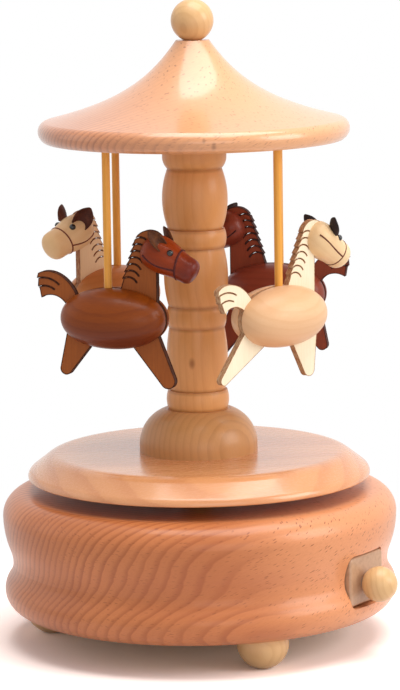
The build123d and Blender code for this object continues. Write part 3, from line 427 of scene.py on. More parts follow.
@dataclass(frozen=True)
class Wood:
    """Lacquered or stained wood, cut from a log that lies in a known way.

    turn brings the log's length to the local X axis; pith is the log's centre line, seen along X. Towards
    the flat side, along the log, the growth rings fade and only short ray flecks are left, and a paler
    colour is mixed in there as painted glare of the light that falls on that side.
    """

    name: str
    early: Colour
    late: Colour
    fleck: Colour
    turn: Point = (0.0, 0.0, 0.0)
    pith: tuple[float, float] = (-130.0, 60.0)
    ring: float = 2.4
    ring_share: float = 0.5
    flat_and_glare_side: tuple[float, float] = OUT_OF_REACH
    # the paler colour and its share on the flat side are painted glare of the light on that side
    painted_glare_colour: Colour = (0.8, 0.45, 0.25)
    painted_glare_share: float = 0.0
    sway: float = 3.5
    fleck_share: float = 0.5
    fleck_size: Point = (0.3, 0.4, 1.8)
    mottle: float = 0.35
    roughness: float = 0.36
    coat: float = 0.1
    specular: float = 0.3
    relief: float = 0.012
    centre: Point = (0.0, 0.0, 0.0)
    tip: tuple[float, float] | None = None
    tip_colour: Colour = (0.2, 0.08, 0.06)
    # a height range below which the colour darkens as painted shade, and that shade's colour
    under_shade: tuple[float, float] | None = None
    under_shade_colour: Colour = (0.2, 0.08, 0.06)
    knots: tuple[tuple[float, float, float, float], ...] = ()
    # heights of turned grooves whose bottoms get painted shade, the width of that shade, and the colour used
    # for the knots and for the painted groove shade
    shaded_grooves: tuple[float, ...] = ()
    groove_shade_width: float = 1.1
    knot_colour_and_groove_shade: Colour = (0.3, 0.12, 0.05)

    def build(self) -> bpy.types.Material:
        """Writes the wood's nodes.

        Returns:
            The material.
        """
        graph = Graph(self.name)
        parts = graph.split(graph.place(self.turn, self.centre))
        flat = parts[0].step(*self.flat_and_glare_side)
        band, rings = self._rings(graph, parts, flat)
        fibre = graph.grain(parts, FIBRE)
        broad = graph.grain(parts, BROAD)
        flecks = self._flecks(graph, parts, flat)
        cloud = (broad - CLOUD_FLOOR) * (self.mottle * 2.0) * (1.0 - flat * CLOUD_FADE)
        colour = graph.mix(rings.clamped(), self.early, self.late)
        colour = graph.mix(cloud.clamped(), colour, self.late)
        # painted glare: a paler colour mixed in on the flat side, standing in for the light that falls there
        colour = graph.mix(flat * self.painted_glare_share, colour, self.painted_glare_colour)
        colour = graph.mix((fibre - FIBRE_FLOOR).clamped() * FIBRE_SHARE, colour, self.late)
        colour = graph.mix(flecks.clamped(), colour, self.fleck)
        if self.tip:
            stain_and_shade = parts[0].step(*self.tip) * (TIP_STAIN + broad * STAIN_AND_SHADE_SWAY)
            colour = graph.mix(stain_and_shade, colour, self.tip_colour)
        # painted shade: the piece darkens towards its bottom, standing in for the shade under the horse's
        # body
        if self.under_shade:
            level = graph.split(graph.place())[2]
            stain_and_shade = (1.0 - level.step(*self.under_shade)) * (UNDER_SHADE + broad * STAIN_AND_SHADE_SWAY)
            colour = graph.mix(stain_and_shade, colour, self.under_shade_colour)
        uneven = fibre * FIBRE_ROUGHNESS + flecks * FIBRE_ROUGHNESS
        graph.set(
            Base_Color=self._marks(graph, colour),
            Roughness=uneven + (self.roughness - FIBRE_ROUGHNESS / 2),
            Normal=graph.bump(fibre * 0.4 + band * 0.2 - flecks * 0.9, self.relief),
            Specular_IOR_Level=self.specular,
            Coat_Weight=self.coat,
            Coat_Roughness=LACQUER_ROUGHNESS,
        )
        return graph.material

    def _rings(self, graph: Graph, parts: Sequence[Wire], flat: Wire) -> tuple[Wire, Wire]:
        """Draws the growth rings around the pith.

        Args:
            graph: The material's graph.
            parts: Where they are read: along the log, across it and up it.
            flat: 1 on the flat side, where they fade.

        Returns:
            The dark bands, and how much of the late wood's colour they take.
        """
        _, side, up = parts
        far = side - self.pith[0]
        high = up - self.pith[1]
        warp = (graph.grain(parts, WARP) - 0.5) * (2.0 * self.sway)
        ripple = (graph.grain(parts, RIPPLE) - 0.5) * RIPPLE_DEPTH
        year = ((far * far + high * high).root() + warp + ripple) / self.ring
        growth = year.fract()
        start, end = LATE_WOOD_RANGE
        band = growth.step(start, end) * (1.0 - growth.step(end, 1.0))
        strength = graph.noise(graph.join(year.floor() * YEAR_STRIDE, 0.5, 0.5), 1.0, 1.0)
        contrast = band * (strength * RING_CONTRAST + RING_LEAST)
        return band, contrast * self.ring_share * (1.0 - flat * RING_FADE)

    def _flecks(self, graph: Graph, parts: Sequence[Wire], flat: Wire) -> Wire:
        """Draws the ray flecks: all of them on the flat side, half as strong elsewhere.

        Args:
            graph: The material's graph.
            parts: Where they are read: along the log, across it and up it.
            flat: 1 on the flat side.

        Returns:
            How much of the fleck's colour is mixed in.
        """
        lens = graph.cells(graph.stretch(parts, self.fleck_size))
        dense = graph.grain(parts, CROWD).step(*CROWD_RANGE) * self.fleck_share * (flat * 0.5 + 0.5)
        return (1.0 - lens.step(*FLECK_RANGE)) * dense

    def _marks(self, graph: Graph, colour: Wire) -> Wire:
        """Adds small knots, and painted shade in the bottoms of turned grooves.

        Args:
            graph: The material's graph.
            colour: The wood's colour so far.

        Returns:
            The colour with its marks.
        """
        if not self.knots and not self.shaded_grooves:
            return colour
        x, y, z = graph.split(graph.place())
        for knot_x, knot_y, knot_z, size in self.knots:
            dx = (x - knot_x) / size
            dy = (y - knot_y) / size
            dz = (z - knot_z) / (size * KNOT_HEIGHT)
            spot = (dx * dx + dy * dy + dz * dz).root()
            colour = graph.mix((1.0 - spot.step(*KNOT_RANGE)) * KNOT_SHARE, colour, self.knot_colour_and_groove_shade)
        # painted shade: each groove's bottom is darkened for the shade that falls into it
        for level in self.shaded_grooves:
            near = 1.0 - abs(z - level).step(GROOVE_SHADE_FLOOR, self.groove_shade_width)
            colour = graph.mix(near * GROOVE_SHADE_SHARE, colour, self.knot_colour_and_groove_shade)
        return colour


@dataclass(frozen=True)
class SawnBoard:
    """A laser-sawn profile board: plain faces with fine straight grain, and scorched edges."""

    name: str
    face: Colour
    grain: Colour
    scorch: Colour
    heading: float
    origin: Point
    roughness: float = 0.42
    coat: float = 0.05
    specular: float = 0.2

    def build(self) -> bpy.types.Material:
        """Writes the board's nodes: local X is forward, Y across the board and Z up.

        Returns:
            The material.
        """
        graph = Graph(self.name)
        parts = graph.split(graph.place((0, 0, self.heading), self.origin))
        fibre = graph.grain(parts, BOARD_FIBRE)
        cloud = graph.grain(parts, BOARD_CLOUD)
        colour = graph.mix((fibre - BOARD_FIBRE_FLOOR).clamped() * BOARD_SHARE, self.face, self.grain)
        colour = graph.mix((cloud - BOARD_CLOUD_FLOOR).clamped() * BOARD_SHARE, colour, self.grain)
        normal = graph.node("ShaderNodeNewGeometry", output="Normal")
        axis = Matrix.Rotation(math.radians(self.heading), 3, "Z") @ Vector((0, 1, 0))
        settings = {"operation": "DOT_PRODUCT"}
        facing = abs(graph.node("ShaderNodeVectorMath", settings, {0: normal, 1: tuple(axis)}, "Value"))
        edge = 1.0 - facing.step(*BOARD_FACE_RANGE)
        char = graph.grain(parts, CHAR)
        scorched = graph.mix(char.step(*CHAR_RANGE) * CHAR_SHARE, self.scorch, self.grain)
        colour = graph.mix(edge, colour, scorched)
        graph.set(
            Base_Color=colour,
            Roughness=self.roughness + fibre * 0.08 + edge * 0.2,
            Normal=graph.bump(fibre, 0.012),
            Specular_IOR_Level=self.specular,
            Coat_Weight=self.coat,
            Coat_Roughness=0.2,
        )
        return graph.material


@dataclass(frozen=True)
class Leather:
    """Thin dyed leather with a fine pebble grain and paler worn patches."""

    name: str
    dye: Colour
    worn: Colour
    roughness: float = 0.5

    def build(self) -> bpy.types.Material:
        """Writes the leather's nodes.

        Returns:
            The material.
        """
        graph = Graph(self.name)
        where = graph.place()
        pebble = graph.cells(where, 3.2)
        cloud = graph.noise(where, 0.5, 3.0)
        colour = graph.mix(cloud.step(0.4, 0.75) * 0.5, self.dye, self.worn)
        graph.set(
            Base_Color=graph.mix(pebble.step(0.1, 0.6) * 0.25, colour, self.worn),
            Roughness=self.roughness + pebble * 0.15,
            Normal=graph.bump(pebble, 0.05, 0.7),
            Specular_IOR_Level=0.2,
        )
        return graph.material


@dataclass(frozen=True)
class Enamel:
    """Glossy moulded bead or smooth plastic with a faint haze."""

    name: str
    colour: Colour
    haze: Colour
    roughness: float = 0.12
    coat: float = 0.6

    def build(self) -> bpy.types.Material:
        """Writes the enamel's nodes.

        Returns:
            The material.
        """
        graph = Graph(self.name)
        where = graph.place()
        cloud = graph.noise(where, 0.9, 3.0)
        fine = graph.noise(where, 6.0, 2.0)
        graph.set(
            Base_Color=graph.mix(cloud.step(0.35, 0.8) * 0.5, self.colour, self.haze),
            Roughness=self.roughness + fine * 0.08,
            Normal=graph.bump(fine, 0.004),
            Coat_Weight=self.coat,
            Coat_Roughness=0.05,
        )
        return graph.material


@dataclass(frozen=True)
class Metal:
    """Turned, rolled or cast metal with fine tool lines and a little tarnish."""

    name: str
    colour: Colour
    tarnish: Colour
    roughness: float = 0.3
    line_direction: Point = (0.3, 0.3, 9.0)
    tarnish_share: float = 0.4
    metallic: float = 1.0
    pits: float = 0.0

    def build(self) -> bpy.types.Material:
        """Writes the metal's nodes.

        Returns:
            The material.
        """
        graph = Graph(self.name)
        where = graph.place()
        tool_lines = Grain(self.line_direction, TOOL_LINE_DETAIL, TOOL_LINE_ROUGH)
        lines = graph.grain(graph.split(where), tool_lines)
        cloud = graph.noise(where, 0.25, 4.0)
        grit = graph.cells(where, 2.5)
        colour = graph.mix(cloud.step(0.4, 0.8) * self.tarnish_share, self.colour, self.tarnish)
        graph.set(
            Base_Color=colour,
            Metallic=self.metallic,
            Roughness=self.roughness - 0.06 + lines * 0.14 + cloud * 0.08,
            Normal=graph.bump(lines * 0.5 + grit * self.pits, 0.01 + 0.03 * self.pits),
        )
        return graph.material


@dataclass(frozen=True)
class Plywood:
    """Thin birch plywood: quiet face grain, and dark glue lines on its edge."""

    name: str = "birch_plywood"
    face: Colour = srgb(214, 182, 136)
    grain: Colour = srgb(178, 140, 96)
    glue: Colour = srgb(96, 64, 38)
    glue_level: float = 9.7
    ply: float = 1.0
    turn: float = 28.0

    def build(self) -> bpy.types.Material:
        """Writes the plywood's nodes.

        Returns:
            The material.
        """
        graph = Graph(self.name)
        parts = graph.split(graph.place((0, 0, self.turn)))
        wave = (graph.grain(parts, PLY_FIGURE) * PLY_LAYERS_IN_FIGURE).fract().step(0.2, 0.9)
        pores = graph.grain(parts, PLY_PORES)
        colour = graph.mix(wave * 0.35 + (pores - 0.4).clamped() * 0.6, self.face, self.grain)
        layer = abs(((parts[2] - self.glue_level) / self.ply).fract() - 0.5)
        colour = graph.mix(layer.step(*GLUE_RANGE) * GLUE_SHARE, colour, self.glue)
        graph.set(
            Base_Color=colour,
            Roughness=0.62 + pores * 0.1,
            Normal=graph.bump(pores + wave * 0.3, 0.02),
        )
        return graph.material


@dataclass(frozen=True)
class Burnt:
    """A thin burnt line drawn on wood."""

    name: str
    colour: Colour
    light: Colour

    def build(self) -> bpy.types.Material:
        """Writes the line's nodes.

        Returns:
            The material.
        """
        graph = Graph(self.name)
        where = graph.place()
        uneven = graph.noise(where, 1.1, 3.0)
        graph.set(
            Base_Color=graph.mix(uneven.step(0.3, 0.75) * 0.6, self.colour, self.light),
            Roughness=0.55 + uneven * 0.1,
            Specular_IOR_Level=0.15,
            Normal=graph.bump(uneven, 0.02),
        )
        return graph.material


# The base and the canopy were turned from blocks whose growth layers face the front left and lean back, so
# their rings climb to the right as slanting bands, and fade into short ray flecks right of the middle. Right
# of the middle a paler colour is also mixed in, as painted glare of the light from the right.
BEECH_BASE = Wood(
    "beech_base", srgb(206, 126, 76), srgb(156, 78, 40), srgb(126, 60, 32),
    turn=(-151, -19, 15), pith=(-150.0, -62.0), ring=2.3, ring_share=0.55, flat_and_glare_side=(-2.0, 36.0),
    painted_glare_colour=srgb(230, 158, 112), painted_glare_share=0.75, sway=4.0, mottle=0.5, fleck_share=0.8, coat=0.2,
    fleck_size=(0.34, 0.5, 2.2),
)  # fmt: skip
BEECH_PLATFORM = Wood(
    "beech_platform", srgb(224, 156, 104), srgb(194, 116, 66), srgb(166, 96, 58),
    turn=(2, -1, 12), pith=(10.0, -60.0), ring=3.4, ring_share=0.4, fleck_share=0.3, sway=2.4,
    fleck_size=(0.4, 0.6, 2.6), roughness=0.27, coat=0.55, specular=0.45,
)  # fmt: skip
BEECH_CANOPY = Wood(
    "beech_canopy", srgb(208, 134, 88), srgb(144, 74, 44), srgb(130, 66, 38), centre=(0.0, 0.0, 150.0),
    turn=(-151, -19, 15), pith=(-150.0, -50.0), ring=1.7, ring_share=0.62, flat_and_glare_side=(-52.0, 20.0),
    painted_glare_colour=srgb(236, 176, 126), painted_glare_share=0.8, sway=2.5, fleck_share=0.6, mottle=0.4,
    fleck_size=(0.4, 0.6, 2.6), roughness=0.3, coat=0.6, specular=0.5,
    knots=((5.4, -44.2, 148.2, 1.0), (2.7, -44.5, 149.6, 0.7)),
)  # fmt: skip
BIRCH_BALL = Wood(
    "birch_ball", srgb(224, 182, 130), srgb(200, 150, 98), srgb(170, 116, 72),
    turn=(20, 70, 30), pith=(-30.0, 20.0), ring=1.6, ring_share=0.4, fleck_share=0.12, sway=1.0,
    roughness=0.34, coat=0.2,
)  # fmt: skip
BIRCH_DOME = Wood(
    "birch_dome", srgb(204, 148, 94), srgb(174, 120, 72), srgb(140, 92, 56),
    turn=(0, 82, 20), pith=(-60.0, 30.0), ring=2.0, ring_share=0.35, fleck_share=0.12, sway=1.2,
)  # fmt: skip
COLUMN_WOOD = Wood(
    "column_wood", srgb(226, 162, 100), srgb(200, 132, 76), srgb(166, 106, 62),
    turn=(0, 86, 35), pith=(-46.0, 18.0), ring=2.2, ring_share=0.3, fleck_share=0.1, sway=2.0,
    roughness=0.38, knots=((-1.6, -8.9, 82.0, 1.3),),
    # the groove heights get painted shade in their bottoms; the same colour also darkens the knot
    shaded_grooves=(67.6, 73.2, 91.6, 97.7, 114.9, 120.2, 137.7), knot_colour_and_groove_shade=srgb(150, 88, 44),
)  # fmt: skip
ROD_WOOD = Wood(
    "rod_wood", srgb(242, 172, 72), srgb(206, 130, 46), srgb(166, 98, 36),
    turn=(0, 90, 0), pith=(-30.0, 10.0), ring=0.8, ring_share=0.3, fleck_share=0.1, sway=0.6,
    roughness=0.36,
)  # fmt: skip
SWITCH_PLATE = Enamel("switch_plate_tan", srgb(194, 154, 122), srgb(164, 124, 94), 0.34, 0.1)
ZINC = Metal("zinc_casting", srgb(176, 178, 180), srgb(120, 122, 126), 0.46, (1, 1, 1), 0.4, 1.0, 0.6)
BRASS = Metal("movement_brass", srgb(212, 172, 92), srgb(150, 112, 52), 0.24)
STEEL = Metal("bright_steel", srgb(190, 190, 194), srgb(128, 126, 128), 0.26)
COMB_STEEL = Metal("comb_steel", srgb(168, 172, 180), srgb(110, 112, 120), 0.22, (6.0, 6.0, 0.4))
BLUED_STEEL = Metal("blued_spring", srgb(84, 94, 124), srgb(64, 60, 72), 0.3, (0.4, 0.4, 6.0))
SCREW_ZINC = Metal("zinc_plated_screw", srgb(196, 190, 172), srgb(140, 132, 110), 0.3)
NYLON = Enamel("nylon_natural", srgb(226, 222, 206), srgb(206, 200, 182), 0.4, 0.1)
BEAD = Enamel("bead_black", srgb(10, 9, 9), srgb(34, 32, 30), 0.12, 0.3)


class Coat(Enum):
    """The coats that the horses come in."""

    BROWN = "brown"
    DARK = "dark"
    CREAM = "cream"
    PALE = "pale"


@dataclass(frozen=True)
class CoatColours:
    """Colours of one coat, each with its darker grain, and how its lines are drawn."""

    board: Colour
    board_grain: Colour
    body: Colour
    body_grain: Colour
    head: Colour
    head_grain: Colour
    muzzle: Colour
    # the belly colour is painted shade for the underside of the body
    belly_shade: Colour
    scorch: Colour
    line: Colour
    line_light: Colour
    ear: Colour
    ear_worn: Colour
    bridle_radius: float
    outline_radius: float
    gloss: float = 0.1


COATS = {
    Coat.BROWN: CoatColours(
        board=srgb(160, 86, 34), board_grain=srgb(116, 58, 26), body=srgb(146, 70, 14),
        body_grain=srgb(84, 28, 10), head=srgb(156, 58, 10), head_grain=srgb(96, 32, 12),
        muzzle=srgb(100, 36, 30), belly_shade=srgb(88, 30, 24), scorch=srgb(44, 20, 12), line=srgb(74, 30, 30),
        line_light=srgb(100, 46, 40), ear=srgb(56, 26, 14), ear_worn=srgb(132, 76, 38),
        bridle_radius=0.34, outline_radius=0.14,
    ),
    Coat.DARK: CoatColours(
        board=srgb(142, 68, 46), board_grain=srgb(108, 50, 36), body=srgb(140, 66, 48),
        body_grain=srgb(96, 42, 34), head=srgb(132, 58, 40), head_grain=srgb(82, 34, 28),
        muzzle=srgb(86, 38, 34), belly_shade=srgb(84, 36, 36), scorch=srgb(52, 24, 22), line=srgb(52, 24, 24),
        line_light=srgb(84, 40, 36), ear=srgb(34, 22, 22), ear_worn=srgb(78, 46, 40),
        bridle_radius=0.22, outline_radius=0.12,
    ),
    Coat.CREAM: CoatColours(
        board=srgb(250, 236, 208), board_grain=srgb(236, 212, 172), body=srgb(234, 190, 148),
        body_grain=srgb(214, 158, 110), head=srgb(240, 210, 166), head_grain=srgb(220, 178, 128),
        muzzle=srgb(242, 214, 172), belly_shade=srgb(228, 180, 138), scorch=srgb(160, 104, 66),
        line=srgb(96, 46, 36), line_light=srgb(126, 72, 56), ear=srgb(34, 26, 28),
        ear_worn=srgb(60, 46, 44), bridle_radius=0.24, outline_radius=0.08,
    ),
    Coat.PALE: CoatColours(
        board=srgb(246, 216, 176), board_grain=srgb(230, 190, 146), body=srgb(214, 142, 84),
        body_grain=srgb(180, 106, 56), head=srgb(242, 208, 160), head_grain=srgb(222, 178, 126),
        muzzle=srgb(232, 188, 136), belly_shade=srgb(196, 124, 72), scorch=srgb(140, 80, 50),
        line=srgb(112, 50, 42), line_light=srgb(142, 76, 56), ear=srgb(64, 30, 26),
        ear_worn=srgb(120, 70, 50), bridle_radius=0.26, outline_radius=0.08,
    ),
}  # fmt: skip


# ---------------------------------------------------------------------------------------------- mesh helpers


def put(name: str, data: bpy.types.ID) -> bpy.types.Object:
    """Adds an object to the scene, at the origin.

    Args:
        name: The object's name.
        data: Its mesh, light or camera.

    Returns:
        The object.
    """
    made = bpy.data.objects.new(name, data)
    bpy.context.scene.collection.objects.link(made)
    return made


def finish_mesh(name: str, mesh: bmesh.types.BMesh) -> bpy.types.Object:
    """Turns a working mesh into an object at the origin, with merged points and outward faces.

    Args:
        name: The object's name.
        mesh: The working mesh, in metres.

    Returns:
        The object, linked to the scene.
    """
    bmesh.ops.remove_doubles(mesh, verts=mesh.verts, dist=MERGE)
    bmesh.ops.recalc_face_normals(mesh, faces=mesh.faces)
    data = bpy.data.meshes.new(name)
    mesh.to_mesh(data)
    mesh.free()
    for polygon in data.polygons:
        polygon.use_smooth = True
    return put(name, data)


def loft(mesh: bmesh.types.BMesh, rings: Sequence[Sequence[Vector]]) -> None:
    """Joins closed rings of points with quads, and fills the first and the last.

    Args:
        mesh: The working mesh.
        rings: Rings with the same number of points, in metres.
    """
    made = [[mesh.verts.new(point) for point in ring] for ring in rings]
    count = len(made[0])
    for near, far in zip(made[:-1], made[1:]):
        for index in range(count):
            after = (index + 1) % count
            mesh.faces.new((near[index], near[after], far[after], far[index]))
    mesh.faces.new(list(reversed(made[0])))
    mesh.faces.new(made[-1])


def to_plain_mesh(piece: bpy.types.Object, name: str) -> bpy.types.Object:
    """Replaces an object with live modifiers by its plain evaluated mesh.

    Args:
        piece: The object.
        name: The new object's name.

    Returns:
        The new object.
    """
    bpy.context.view_layer.update()
    graph = bpy.context.evaluated_depsgraph_get()
    data = bpy.data.meshes.new_from_object(piece.evaluated_get(graph), depsgraph=graph)
    data.name = name
    made = put(name, data)
    old = piece.data
    bpy.data.objects.remove(piece)
    if isinstance(old, bpy.types.Mesh) and not old.users:
        bpy.data.meshes.remove(old)
    return made


class Rule:
    """A Geometry Nodes tree in the making, with named inputs."""

    def __init__(self, name: str, inputs: Sequence[tuple[str, str, Any]]) -> None:
        """Starts a tree.

        Args:
            name: The tree's name.
            inputs: Name, socket type and default of each input after the geometry.
        """
        self.tree = bpy.data.node_groups.new(name, "GeometryNodeTree")
        face = self.tree.interface
        face.new_socket("Geometry", in_out="INPUT", socket_type="NodeSocketGeometry")
        for label, kind, default in inputs:
            socket = face.new_socket(label, in_out="INPUT", socket_type=kind)
            if default is not None:
                socket.default_value = default
        face.new_socket("Geometry", in_out="OUTPUT", socket_type="NodeSocketGeometry")
        self.entry = self.tree.nodes.new("NodeGroupInput")
        self.exit = self.tree.nodes.new("NodeGroupOutput")

    def read(self, label: str) -> bpy.types.NodeSocket:
        """An input of the tree."""
        return self.entry.outputs[label]

    def add(
        self, kind: str, settings: dict[str, Any] | None = None, inputs: dict[str | int, Any] | None = None
    ) -> bpy.types.Node:
        """Adds a node.

        Args:
            kind: Blender's node type.
            settings: Its properties.
            inputs: Values or sockets for its inputs.

        Returns:
            The node.
        """
        made = self.tree.nodes.new(kind)
        for key, value in (settings or {}).items():
            setattr(made, key, value)
        for key, value in (inputs or {}).items():
            if isinstance(value, bpy.types.NodeSocket):
                self.tree.links.new(value, made.inputs[key])
            else:
                made.inputs[key].default_value = value
        return made

    def draw(self, curve: bpy.types.NodeSocket, sides: bpy.types.NodeSocket | int) -> None:
        """Lays a round line of the input's radius along a curve, and ends the tree.

        Args:
            curve: The curve.
            sides: How many sides the line's section has.
        """
        round_section = {"Resolution": sides, "Radius": self.read("Radius")}
        section = self.add("GeometryNodeCurvePrimitiveCircle", None, round_section)
        swept = {"Curve": curve, "Profile Curve": section.outputs["Curve"], "Fill Caps": True}
        tube = self.add("GeometryNodeCurveToMesh", None, swept)
        self.end(tube.outputs["Mesh"])

    def end(self, geometry: bpy.types.NodeSocket) -> None:
        """Realises the instances, sets the material and ends the tree.

        Args:
            geometry: The last geometry.
        """
        real = self.add("GeometryNodeRealizeInstances", None, {"Geometry": geometry})
        smooth = self.add("GeometryNodeSetShadeSmooth", None, {"Geometry": real.outputs["Geometry"]})
        dressed = self.add(
            "GeometryNodeSetMaterial",
            None,
            {"Geometry": smooth.outputs["Geometry"], "Material": self.read("Material")},
        )
        self.tree.links.new(dressed.outputs["Geometry"], self.exit.inputs["Geometry"])

    def apply(self, piece: bpy.types.Object, name: str, values: dict[str, Any]) -> bpy.types.Object:
        """Runs the tree on a piece and hands back its plain mesh.

        Args:
            piece: The object that the tree starts from.
            name: The result's name.
            values: The tree's inputs by name.

        Returns:
            The plain mesh object.
        """
        modifier = piece.modifiers.new(name, "NODES")
        modifier.node_group = self.tree
        for item in self.tree.interface.items_tree:
            if item.item_type == "SOCKET" and item.in_out == "INPUT" and item.name in values:
                modifier[item.identifier] = values[item.name]
        return to_plain_mesh(piece, name)


def line_object(name: str, runs: Sequence[Sequence[Vector]]) -> bpy.types.Object:
    """A mesh of plain edges that a Geometry Nodes tree follows.

    Args:
        name: The object's name.
        runs: Open runs of points, in metres.

    Returns:
        The object.
    """
    data = bpy.data.meshes.new(name)
    points: list[Vector] = []
    edges: list[tuple[int, int]] = []
    for run in runs:
        first = len(points)
        points.extend(run)
        edges.extend((first + index, first + index + 1) for index in range(len(run) - 1))
    data.from_pydata([tuple(point) for point in points], edges, [])
    return put(name, data)


def drawn_line_rule() -> Rule:
    """A tree that lays thin round lines along the edges it is given.

    Returns:
        The tree.
    """
    rule = Rule(
        "drawn_lines",
        [
            ("Radius", "NodeSocketFloat", 0.0002),
            ("Sides", "NodeSocketInt", 8),
            ("Material", "NodeSocketMaterial", None),
        ],
    )
    curve = rule.add("GeometryNodeMeshToCurve", None, {0: rule.read("Geometry")})
    rule.draw(curve.outputs[0], rule.read("Sides"))
    return rule


def sharp_edge_rule() -> Rule:
    """A tree that follows the sharp edges of a sawn board with a thin scorched line.

    Returns:
        The tree.
    """
    rule = Rule(
        "scorched_edges",
        [
            ("Radius", "NodeSocketFloat", 0.0001),
            ("Sharp Angle", "NodeSocketFloat", 0.9),
            ("Material", "NodeSocketMaterial", None),
        ],
    )
    whole = rule.add(
        "GeometryNodeMergeByDistance", None, {"Geometry": rule.read("Geometry"), "Distance": 1e-6}
    )
    angle = rule.add("GeometryNodeInputMeshEdgeAngle")
    sharp = rule.add(
        "FunctionNodeCompare",
        {"data_type": "FLOAT", "operation": "GREATER_THAN"},
        {"A": angle.outputs["Unsigned Angle"], "B": rule.read("Sharp Angle")},
    )
    curve = rule.add(
        "GeometryNodeMeshToCurve", None, {0: whole.outputs["Geometry"], "Selection": sharp.outputs["Result"]}
    )
    rule.draw(curve.outputs[0], OUTLINE_SIDES)
    return rule


def scattered_rule() -> Rule:
    """A tree that sets one piece on every point it is given, turned by the point's own angle.

    Returns:
        The tree.
    """
    rule = Rule(
        "set_on_points",
        [("Piece", "NodeSocketObject", None), ("Material", "NodeSocketMaterial", None)],
    )
    source = rule.add("GeometryNodeObjectInfo", None, {"Object": rule.read("Piece")})
    turn = rule.add("GeometryNodeInputNamedAttribute", {"data_type": "FLOAT_VECTOR"}, {"Name": "turn"})
    placed = rule.add(
        "GeometryNodeInstanceOnPoints",
        None,
        {
            "Points": rule.read("Geometry"),
            "Instance": source.outputs["Geometry"],
            "Rotation": turn.outputs["Attribute"],
        },
    )
    rule.end(placed.outputs["Instances"])
    return rule


def points_object(name: str, places: Sequence[Vector], turns: Sequence[Point]) -> bpy.types.Object:
    """Loose points that carry their turn.

    Args:
        name: The object's name.
        places: Where they are, in metres.
        turns: Their rotation about X, Y and Z, in radians.

    Returns:
        The object.
    """
    data = bpy.data.meshes.new(name)
    data.from_pydata([tuple(place) for place in places], [], [])
    attribute = data.attributes.new("turn", "FLOAT_VECTOR", "POINT")
    for item, turn in zip(attribute.data, turns):
        item.vector = turn
    return put(name, data)


# --------------------------------------------------------------------------------------------- sub-assemblies

# The wood screws: shares of the head's radius with millimetres over its face, then shares of the shank's
# radius with shares of the thread's pitch.
SCREW_HEAD_PROFILE = ((0.0, 0.0), (0.55, 0.0), (0.92, 0.06), (1.0, 0.22), (0.97, 0.34))
THREAD_PROFILE = ((0.78, 0.3), (0.98, 0.6), (0.78, 0.9))
SCREW_SEGMENTS = 20
SCREW_REACH = 6 * MM
CROSS_SHARE = 0.2
TAPER_SHARE = 0.8
TIP_SHARE = 0.3
LEAST_RADIUS = 1e-4

# The horses' lines and ears: steps and sides of their meshes, then the outline of an ear's leaf.
PROFILE_STEPS = 38
NOSEBAND_STEPS = 48
CHEEK_STEPS = 24
BRIDLE_SIDES = 8
OUTLINE_SIDES = 6
LINE_SINK = 0.45  # share of a line's radius that lies in the wood
EYE_SEGMENTS = 24
EYE_RINGS = 16
EAR_ROWS = 10
EAR_COLUMNS = 11
EAR_ROOT = 0.7
EAR_SWELL = 0.75
EAR_FALL = 0.35
EAR_POINT = 3.2
EAR_TIP = 0.05
EAR_INSET = 0.3
EAR_ARCH = 0.25


@dataclass
class Carousel:
    """What all sub-assemblies share: the loaded frame, the finishes made so far and the rules."""

    frame: dict[str, Any]
    made: dict[str, bpy.types.Material] = field(default_factory=dict)
    rules: dict[str, Rule] = field(default_factory=dict)

    def finish(self, finish: Any) -> bpy.types.Material:
        """The material of a finish, built once.

        Args:
            finish: A finish with a name and a build method.

        Returns:
            Its material.
        """
        if finish.name not in self.made:
            self.made[finish.name] = finish.build()
        return self.made[finish.name]

    def dress(self, node: str, finish: Any) -> None:
        """Gives a node of the frame its finish.

        Args:
            node: The node's name.
            finish: Its finish.
        """
        piece = self.frame["nodes"][node]
        material = self.finish(finish)
        if not piece.material_slots:
            piece.data.materials.append(material)
        for slot in piece.material_slots:
            slot.material = material
        LOG.info("dressed %s with %s", node, finish.name)

    def rule(self, name: str, maker: Callable[[], Rule]) -> Rule:
        """A tree, built once."""
        if name not in self.rules:
            self.rules[name] = maker()
        return self.rules[name]

    def seat(self, piece: bpy.types.Object, body: str, slot: str, finish: Any, *nodes: str) -> None:
        """Puts a new piece on its body, gives it its finish and hides the nodes that it stands for.

        Args:
            piece: The new piece.
            body: The body it rides on.
            slot: The record's material slot; not used.
            finish: Its finish.
            nodes: The nodes it replaces.
        """
        material = self.finish(finish)
        if not piece.data.materials:
            piece.data.materials.append(material)
        for index in range(len(piece.data.materials)):
            piece.data.materials[index] = material
        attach(piece, body)
        if nodes:
            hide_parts(*nodes)
        LOG.info("added %s: %d faces", piece.name, len(piece.data.polygons))


